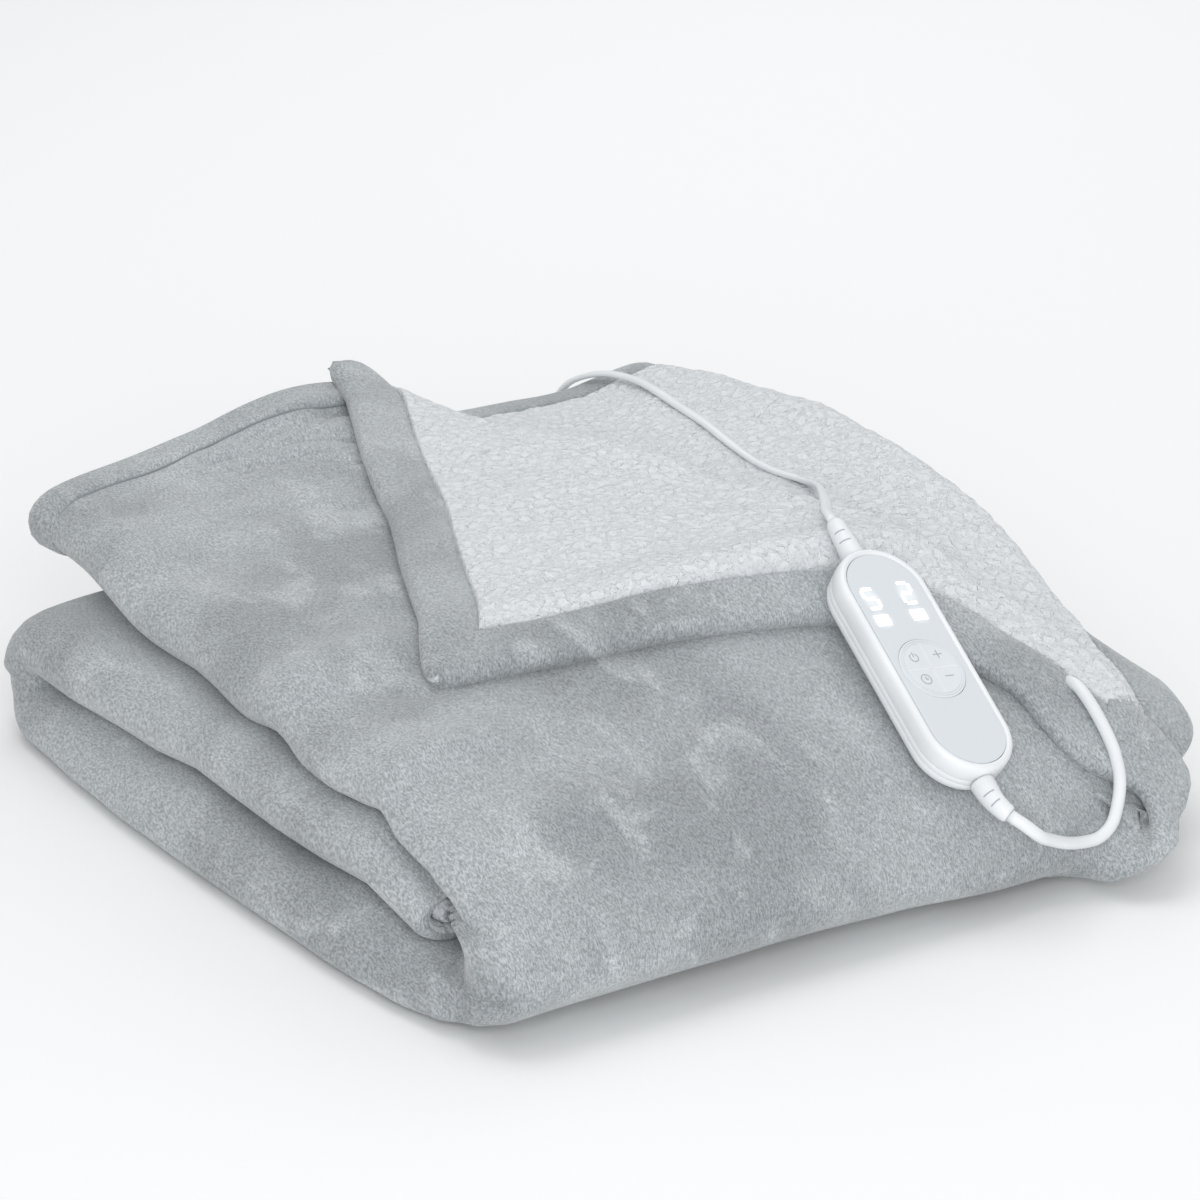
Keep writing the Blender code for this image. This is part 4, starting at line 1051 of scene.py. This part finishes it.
def walk_in(tree, start, up, ahead, width):
    """Walk inwards inside the cloth, and list its two sides' places and the way out at each step."""
    up = Vector(up)
    ahead = Vector(ahead)
    spot = Vector(start) + ahead * WALK_FROM
    found = []
    thick = PLY / 2
    inside = lost = False
    for step in range(HEM_STEPS * HEM_SUBSTEPS + 1):
        above = tree.ray_cast(spot, up, CAST_REACH)
        below = tree.ray_cast(spot, -up, CAST_REACH)
        held = above[0] is not None and below[0] is not None
        lost = lost or inside and not held
        if held and not lost:
            inside = True
            middle = (above[0] + below[0]) / 2
            thick = (above[0] - below[0]).length / 2
            facing = above[1] if above[1].dot(up) > 0 else -above[1]
            other = below[1] if below[1].dot(up) > 0 else -below[1]
            leaning = (facing + other).normalized()
            if leaning.dot(up) > 0.5:
                up = (up + 0.35 * leaning).normalized()
            spot = middle
        if step % HEM_SUBSTEPS == 0:
            found.append((spot.copy(), up.copy(), thick))
        ahead = (ahead - up * ahead.dot(up)).normalized()
        spot = spot + ahead * (HALT_STEP if lost else width / HEM_STEPS / HEM_SUBSTEPS)
    return found


def hem_band(name, tree, line, spacing, surface, seam_surface, extra=0.0, widths=None, seams=(1,)):
    """Wrap an edge in a hem band that follows both sides of the cloth, with a seam at its inner edge.

    line has a place, the way to the flannel side and the way in for each point of the edge.
    """
    line = resample(line, spacing)
    wide = np.full(len(line), HEM_WIDTH) if widths is None else widths(line)
    rings = []
    ways_out = []
    count = len(line)
    for number, (values, width) in enumerate(zip(line, wide)):
        taper = min(1.0, 0.25 + number / 2, 0.25 + (count - 1 - number) / 2)
        along = unit(line[min(number + 1, count - 1), :3] - line[max(number - 1, 0), :3])
        up = unit(values[3:6])
        ahead = values[6:9] - along * (values[6:9] @ along)
        ahead = unit(ahead - up * (ahead @ up))
        walked = walk_in(tree, values[:3], up, ahead, width)
        flannel_side, fleece_side = [], []
        for step, (middle, out, thick) in enumerate(walked):
            from_seam = width * (HEM_STEPS - step) / HEM_STEPS
            lift = float(read(HEM_LIFT, 1, min(from_seam, HEM_WIDTH)))
            lift = (lift + (extra if lift > 0 else 0.0)) * taper
            flannel_side.append(middle + out * (thick + lift))
            fleece_side.append(middle - out * (thick + lift))
        first, out, thick = walked[0]
        rim = []
        for swing in (60, 30, 0, -30, -60):
            angle = math.radians(swing)
            rim.append(first - Vector(ahead) * (HEM_RIM * math.cos(angle) * (0.4 + 0.6 * taper))
                       + out * ((thick + HEM_LIFT[-1][1] + extra) * math.sin(angle)))
        rings.append(flannel_side[::-1] + rim + fleece_side)
        ways_out.append(tuple(out))
    rings = np.array([[tuple(point) for point in ring] for ring in rings])
    rings[..., 2] = np.maximum(rings[..., 2], 0.0)
    for _ in range(2):
        rings[1:-1] = 0.5 * rings[1:-1] + 0.25 * (rings[:-2] + rings[2:])
    pieces = [new_object(name, *tube_mesh(rings), surface, "grey_flannel")]
    for side in seams:
        outward = np.array(ways_out) * (-1 if side else 1)
        thread = swept(rings[:, -side] + outward * SEAM_OFF, outward, circle(SEAM_RADIUS, 6))
        pieces.append(new_object(f"{name}_seam_{side}", *tube_mesh(thread), seam_surface, "grey_flannel"))
    return pieces, line, wide


def edge_line(flannel, fleece, middle, line, back):
    """List an edge's places with the ways to the flannel side and in."""
    edge = middle[line]
    normal = unit(flannel[back] - fleece[back])
    return np.concatenate([edge, normal, unit(middle[back] - edge)], axis=1)


def corner_row(travelled):
    """Find the row of the turned corner's tip."""
    return int(np.argmin(np.abs(travelled - (TOP_ROWS[0][0] - CORNER_Y))))


def front_widths(line):
    """Give the front band's width at each place of its edge."""
    wide = np.full(len(line), HEM_WIDTH)
    front = (line[:, 0] > 0.27) & (line[:, 1] < 0.05)
    grown = read(BAND_GROWS, 1, line[front, 1]) - HEM_WIDTH
    wide[front] += grown * ramp(line[front, 2], 0.012, 0.030)
    return wide


def add_hems(tree, travelled, flannel, fleece, middle, surface, seam_surface):
    """Add the hem bands: the turned corner's two edges, the ply beneath, and the back end."""
    rows, columns = middle.shape[:2]
    corner = corner_row(travelled)

    def edge(row, column, back_row, back_column):
        return edge_line(flannel, fleece, middle, (row, column), (back_row, back_column))

    first, rest, every = slice(0, corner + 1), slice(corner, rows), slice(0, rows)
    side = edge(first, 0, first, 3)
    front = edge(rest, 0, rest, 3)
    front[:, 6:9] = np.cross(front[:, 3:6], unit(np.gradient(front[:, :3], axis=0)))
    inward = middle[corner:, 3] - middle[corner:, 0]
    front[(front[:, 6:9] * inward).sum(1) < 0, 6:9] *= -1
    beneath = edge(every, columns - 1, every, columns - 3)
    back = edge(0, slice(0, columns), 8, slice(0, columns))
    made = [
        hem_band("hem_turned_side", tree, side, 0.0026, surface, seam_surface),
        hem_band("hem_turned_front", tree, front, 0.0030, surface, seam_surface, extra=0.0007,
                 widths=front_widths, seams=()),
        hem_band("hem_beneath", tree, beneath, 0.0040, surface, seam_surface),
        hem_band("hem_back", tree, back, 0.0040, surface, seam_surface, extra=0.0005, seams=(0,)),
    ]
    return [piece for band in made for piece in band[0]], [band[1:] for band in made]


# ---------------------------------------------------------------- fleece

def off_bands(bands):
    """Make a function that says, from 0 to 1, how far under a hem band a place is."""
    places = np.concatenate([line[:, :3] for line, wide in bands])
    wide = np.concatenate([wide for line, wide in bands])
    tree = KDTree(len(places))
    for number, place in enumerate(places):
        tree.insert(place, number)
    tree.balance()

    def under(points):
        flat = points.reshape(-1, 3)
        result = np.empty(len(flat))
        for number, point in enumerate(flat):
            _, index, gap = tree.find(point)
            result[number] = wide[index] - gap
        return ramp(result, -0.0012, 0.0008).reshape(points.shape[:-1])

    return under


def add_fleece(name, travelled, steps, beneath_from, under, surface):
    """Add the tufted face of the fleece over part of the cloth, sunk under the hem bands."""
    flannel, fleece, middle = cloth_sides(travelled, steps, beneath_from)
    lengths = np.linalg.norm(np.diff(fleece, axis=1), axis=2)
    across = np.concatenate([np.zeros((len(travelled), 1)), np.cumsum(lengths, axis=1)], axis=1)
    across = across + TUFT_WANDER * soft_noise(fleece, 0.009, 14)
    along = travelled[:, None] + TUFT_WANDER * soft_noise(fleece, 0.009, 15)
    big = lumps(across, along, TUFT_SIZE, 11)
    small = lumps(across + 0.3, along + 0.1, CURL_SIZE, 12)
    wide = soft_noise(fleece, 0.030, 13)
    sunk = under(fleece)
    height = PILE_HEIGHT + PILE_TUFT * big + PILE_CURL * small + PILE_WAVE * wide
    height = height * (1 - sunk) - PILE_SINK * sunk
    places = fleece + unit(fleece - flannel) * height[..., None]
    thing = new_object(name, places.reshape(-1, 3), grid_faces(*places.shape[:2], flip=True), surface,
                       "white_fleece")
    # The tuft attribute carries the tufts' height, zero under the hem bands; the fleece material paints
    # shade where it is low.
    tuft_shade = np.clip(0.55 * big + 0.45 * small, 0, 1) * (1 - sunk)
    attribute = thing.data.attributes.new("tuft_shade", "FLOAT", "POINT")
    attribute.data.foreach_set("value", tuft_shade.astype(np.float32).ravel())
    return thing


def stadium_ring(inset, height):
    """Give one level outline of the controller, in its own metres."""
    places = stadium(CONTROLLER_WIDTH / 2 - inset, (CONTROLLER_LENGTH - CONTROLLER_WIDTH) / 2,
                     STADIUM_STEPS + 1)
    return level(places, height)


def lofted(name, rings, surface, slot, node, ends="caps"):
    """Join level rings into a piece in a node's place, closed by caps, closed into a tube, or open."""
    rings = np.array(rings)
    count, sides = rings.shape[:2]
    faces = grid_faces(count, sides, wrap=True, flip=True)
    if ends == "joined":
        last = (count - 1) * sides
        faces += [(k, last + k, last + (k + 1) % sides, (k + 1) % sides) for k in range(sides)]
    elif ends == "caps":
        faces.append(tuple(range(sides)))
        faces.append(tuple((count - 1) * sides + k for k in range(sides))[::-1])
    thing = new_object(name, on_controller(rings.reshape(-1, 3)), faces, surface, slot, (node,))
    thing.data.set_sharp_from_angle(angle=math.radians(40))


def box_outline(thick, width):
    """Outline a flat bar."""
    return ((-thick, -width / 2), (thick, -width / 2), (thick, width / 2), (-thick, width / 2))


def flat_bar(places, height, width):
    """Lay a flat bar along places on the controller, and give its points and faces."""
    path = on_controller(level(places, height))
    facing = np.broadcast_to(CONTROLLER_AXES[:, 2], path.shape)
    return tube_mesh(swept(path, facing, box_outline(MARK_THICK, width)))


def joined(name, parts, surface, slot):
    """Make one flat-shaded object of several meshes' points and faces."""
    points, faces = [], []
    for some_points, some_faces in parts:
        start = sum(len(one) for one in points)
        points.append(some_points)
        faces += [tuple(index + start for index in face) for face in some_faces]
    thing = new_object(name, np.concatenate(points), faces, surface, slot)
    thing.data.shade_flat()
    return thing


def straight(x0, y0, x1, y1):
    """List the two ends of a straight line, with its middle."""
    return (x0, y0), ((x0 + x1) / 2, (y0 + y1) / 2), (x1, y1)


def add_controller(white, panel, key_surface, mark_surface, lit_surface):
    """Add the controller's shells, face, keypad, marks and lit display."""
    lofted("controller_lower_shell", [stadium_ring(*row) for row in BASE_PROFILE[::-1]], white,
           "controller_white", "controller_base")
    lofted("controller_upper_shell", [stadium_ring(*row) for row in COVER_PROFILE[::-1]], white,
           "controller_white", "controller_cover", ends="joined")
    outline = stadium_ring(FACE_INSET, FACE_HEIGHT)
    half_step = 90.0 / (STADIUM_STEPS + 1)
    hole = level(arc((0.0, KEYPAD_Y), HOLE_RADIUS, half_step, 360.0 - half_step, len(outline)),
                 FACE_HEIGHT)
    down = np.array((0.0, 0.0, FACE_THICK))
    lofted("controller_front", [outline - down, outline, hole, hole - down], panel, "face_grey",
           "controller_face", ends="open")
    rings = [level(circle(radius, CIRCLE_STEPS, (0.0, KEYPAD_Y)), height)
             for radius, height in KEYPAD_PROFILE]
    lofted("controller_keys", rings, key_surface, "keypad_grey", "controller_keypad")
    cross = (straight(0.0, KEYPAD_Y - KEY_REACH, 0.0, KEYPAD_Y + KEY_REACH),
             straight(-KEY_REACH, KEYPAD_Y, KEY_REACH, KEYPAD_Y))
    joined("keypad_lines", [flat_bar(path, KEY_HEIGHT, KEY_LINE_WIDTH) for path in cross], white,
           "controller_white")
    marks = []
    for (x, y), arcs, lines in KEY_MARKS:
        marks += [arc((x, y), *one) for one in arcs]
        marks += [straight(x + x0, y + y0, x + x1, y + y1) for x0, y0, x1, y1 in lines]
    joined("keypad_marks", [flat_bar(path, KEY_HEIGHT, MARK_WIDTH) for path in marks], mark_surface,
           "keypad_grey")
    lit = []
    for (left, low, right, high), segments in DIGITS:
        for x0, y0, x1, y1 in segments:
            path = straight(left + (right - left) * x0, low + (high - low) * y0,
                            left + (right - left) * x1, low + (high - low) * y1)
            lit.append(flat_bar(path, FACE_HEIGHT, DIGIT_WIDTH))
    for x, y in LIT_SQUARES:
        reach = LIT_SIZE[0] / 2
        lit.append(flat_bar(straight(x - reach, y, x + reach, y), FACE_HEIGHT, LIT_SIZE[1]))
    joined("display_lit", lit, lit_surface, "face_grey")


def add_relief(name, node, table, sign, surface, slot_shade_surface):
    """Add a tapered strain relief on one end of the controller, with two slots drawn as thin grey bars of
    painted shade.
    """
    values = np.array(table)
    shares = np.linspace(0.0, 1.0, len(values))
    at = np.linspace(0.0, 1.0, RELIEF_STEPS)
    fine = np.stack([smooth(shares, values[:, k], at) for k in range(4)], axis=1)
    path = on_controller(fine[:, :3] + (0.0, sign * CONTROLLER_LENGTH / 2, CORD_HEIGHT))
    radii = fine[:, 3]
    radii[-1] -= 0.0006
    radii[-2] -= 0.0002
    outline = circle(1.0, RELIEF_SIDES)[None] * radii[:, None, None]
    facing = np.broadcast_to(CONTROLLER_AXES[:, 2], path.shape)
    relief = new_object(name, *tube_mesh(swept(path, facing, outline)), surface, "cord_white", (node,))
    view = unit(np.array(CAMERA_PLACE) - np.array(CAMERA_TARGET))
    # Painted shade: each slot is a thin grey bar wrapped over the side that faces the camera, standing in
    # for the shade in its groove.
    bars = []
    for number in RELIEF_SLOTS:
        way = unit(path[number + 1] - path[number - 1])
        out = unit(view - way * (view @ way))
        turns = arc((0.0, 0.0), radii[number] + 0.00002, -32, 32, 7)
        bend = turns @ np.array([out, np.cross(way, out)])
        bars.append(tube_mesh(swept(path[number] + bend, bend, box_outline(0.0001, 0.00064))))
    return relief, joined(name + "_slot_shade", bars, slot_shade_surface, "cord_white")


# ---------------------------------------------------------------- cords

def controller_end(sign):
    """Give the middle of the controller's end, where a cord leaves it, in its own metres."""
    return Vector((0.0, sign * CONTROLLER_LENGTH / 2, CORD_HEIGHT))


def relief_end(table, sign):
    """Give the first places of a cord, straight out of the tip of its strain relief."""
    last = Vector(table[-1][:3])
    onward = (last - Vector(table[-2][:3])).normalized()
    tip = controller_end(sign) + last
    return [np.array(Vector(CONTROLLER_PLACE) + CONTROLLER_MATRIX @ (tip + onward * step))
            for step in (FIT, CORD_START)]


def coil_path():
    """Wind the stored length: four turns inwards, up inside, and four turns outwards on top."""
    places = []
    for angle in np.arange(COIL_STEP, 360.0 * 7 + COIL_LEAVE + 0.1, COIL_STEP):
        turn, within = int(angle // 360), angle % 360
        if turn < 3:
            radius = COIL_RADII[turn] + (COIL_RADII[turn + 1] - COIL_RADII[turn]) * float(
                ramp(within, 360 - COIL_SHIFT, 360))
            height = COIL_LOW
        elif turn == 3:
            dip = float(ramp(within, 240, 290) * (1 - ramp(within, 310, 358)))
            radius = COIL_RADII[3] + (COIL_DIP - COIL_RADII[3]) * dip
            height = COIL_LOW + (COIL_HIGH - COIL_LOW) * float(ramp(within, 280, 340))
        else:
            first, after = COIL_RADII[7 - turn], COIL_RADII[max(6 - turn, 0)]
            radius = first + (after - first) * float(ramp(within, 290, 345))
            height = COIL_HIGH
        swing = math.radians(angle)
        places.append((COIL_CENTRE[0] + radius * math.cos(swing),
                       COIL_CENTRE[1] + radius * math.sin(swing), height))
    return np.array(places)


def mains_path():
    """Give the mains cord's middle line and the way its thin side faces."""
    start, onward = relief_end(MAINS_RELIEF, 1)
    route = smooth_route([onward, *MAINS_ROUTE], 0.0040)
    to_coil = [(COIL_CENTRE[0] + COIL_RADII[0], y, COIL_LOW) for y in (0.4985, 0.5045, 0.5095)]
    lead_in = np.concatenate([start[None], route, to_coil])
    coil = coil_path()
    link = [coil[-1] + (np.array(PLUG_BACK) - coil[-1]) * share for share in (0.25, 0.5, 0.75, 0.985)]
    travelled = np.linspace(0.0, 1.0, len(lead_in))
    facing = np.stack([read(MAINS_FACING, k, travelled) for k in (1, 2, 3)], axis=1)
    radial = coil - (*COIL_CENTRE, 0.0)
    radial[:, 2] = 0.0
    heading = math.radians(PLUG_HEADING)
    sideways = np.array([(-math.sin(heading), math.cos(heading), 0.0)] * len(link))
    if np.dot(sideways[0], radial[-1]) < 0:
        sideways = -sideways
    return np.concatenate([lead_in, coil, link]), np.concatenate([facing, unit(radial), sideways])


def add_cords(surface):
    """Add the two cords, and give each with its middle line."""
    path, facing = mains_path()
    outline = stadium(MAINS_THICK / 2, (MAINS_WIDTH - MAINS_THICK) / 2, 5)
    mains = new_object("mains_lead", *tube_mesh(swept(path, facing, outline)), surface, "cord_white",
                       ("mains_cord", "mains_coil"))
    start, onward = relief_end(LEAD_RELIEF, -1)
    line = np.concatenate([start[None], smooth_route([onward, *LEAD_ROUTE], 0.0030)])
    facing = np.broadcast_to((0.0, 0.0, 1.0), line.shape)
    lead = new_object("throw_lead", *tube_mesh(swept(line, facing, circle(LEAD_RADIUS, 20))), surface,
                      "cord_white", ("control_lead",))
    return mains, path, lead, line


# ---------------------------------------------------------------- stage

def aimed(thing, place, target):
    """Put a light or the camera in its place, facing a target."""
    thing.location = place
    thing.rotation_euler = (Vector(target) - Vector(place)).to_track_quat("-Z", "Y").to_euler()
    bpy.context.scene.collection.objects.link(thing)
    return thing


def add_stage():
    """Add the floor, the soft lights and the camera."""
    scene = bpy.context.scene
    corners = [(x * FLOOR_REACH, y * FLOOR_REACH, 0.0) for x, y in ((-1, -1), (1, -1), (1, 1), (-1, 1))]
    mesh = bpy.data.meshes.new("floor")
    mesh.from_pydata(corners, [], [(0, 1, 2, 3)])
    mesh.materials.append(new_material("paper", (0.97, 0.97, 0.97), 0.9))
    floor = bpy.data.objects.new("floor", mesh)
    scene.collection.objects.link(floor)
    scene.world = bpy.data.worlds.new("studio")
    scene.world.use_nodes = True
    backdrop = scene.world.node_tree.nodes["Background"]
    backdrop.inputs["Color"].default_value = (0.97, 0.985, 1.0, 1.0)
    backdrop.inputs["Strength"].default_value = BACKDROP
    for name, place, size, power in LIGHTS:
        lamp = bpy.data.lights.new(name, "AREA")
        lamp.shape = "DISK"
        lamp.size = size
        lamp.energy = power
        lamp.color = (0.98, 0.99, 1.0)
        aimed(bpy.data.objects.new(name, lamp), place, LIGHT_TARGET)
    lens = bpy.data.cameras.new("camera")
    lens.lens = CAMERA_LENS
    lens.sensor_width = CAMERA_SENSOR
    lens.clip_end = 50.0
    scene.camera = aimed(bpy.data.objects.new("camera", lens), CAMERA_PLACE, CAMERA_TARGET)
    scene.view_settings.view_transform = "Standard"


# ---------------------------------------------------------------- all of it

def dress_nodes(names, surface):
    """Give CAD nodes a better material."""
    for name in names:
        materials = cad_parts[name].data.materials
        materials.clear()
        materials.append(surface)


def main():
    flannel_surface = flannel_material()
    fleece_surface = fleece_material()
    seam_surface = new_material("seam_thread", (0.26, 0.28, 0.29), 0.8)
    white = plastic("controller_plastic", (0.87, 0.885, 0.895), 0.34, coat=0.1)
    panel = panel_material()
    key_surface = plastic("keypad_plastic", (0.76, 0.79, 0.815), 0.40)
    mark_surface = new_material("keypad_ink", (0.42, 0.45, 0.48), 0.5)
    lit_surface = new_material("display_light", (1.0, 1.0, 1.0), 0.5, Emission_Color=(1.0, 1.0, 1.0, 1.0),
                               Emission_Strength=1.2)
    cord_surface = plastic("cord_plastic", (0.84, 0.86, 0.87), 0.38, coat=0.15)
    add_stage()
    mains, mains_line, lead, lead_line = add_cords(cord_surface)
    add_controller(white, panel, key_surface, mark_surface, lit_surface)
    # The keypad ink's grey is used again as the painted shade in the reliefs' slots.
    mains_relief, lead_relief = [
        add_relief(name, node, table, sign, cord_surface, mark_surface)
        for name, node, table, sign in (("mains_relief", "mains_strain_relief", MAINS_RELIEF, 1),
                                        ("lead_relief", "lead_strain_relief", LEAD_RELIEF, -1))]
    cloth, tree, travelled, flannel, fleece, middle = add_cloth(flannel_surface, fleece_surface)
    bands, (side, front, beneath_line, back) = add_hems(tree, travelled, flannel, fleece, middle,
                                                        flannel_surface, seam_surface)
    no_steps = dict.fromkeys(SECTION_STEPS, 0)
    faces = [
        add_fleece("fleece_turned", np.linspace(0.004, FRONT_START + 0.055, 290),
                   {**no_steps, "turned": 290, "roll": 36}, 0.0, off_bands([side, front]),
                   fleece_surface),
        add_fleece("fleece_beneath", np.linspace(0.004, FRONT_START + 0.07, 400),
                   {**no_steps, "beneath": 220}, 0.012, off_bands([beneath_line, back]),
                   fleece_surface),
    ]
    dress_nodes(("plug_body",), cord_surface)
    dress_nodes(("plug_pin_1", "plug_pin_2"), brass_material())


main()
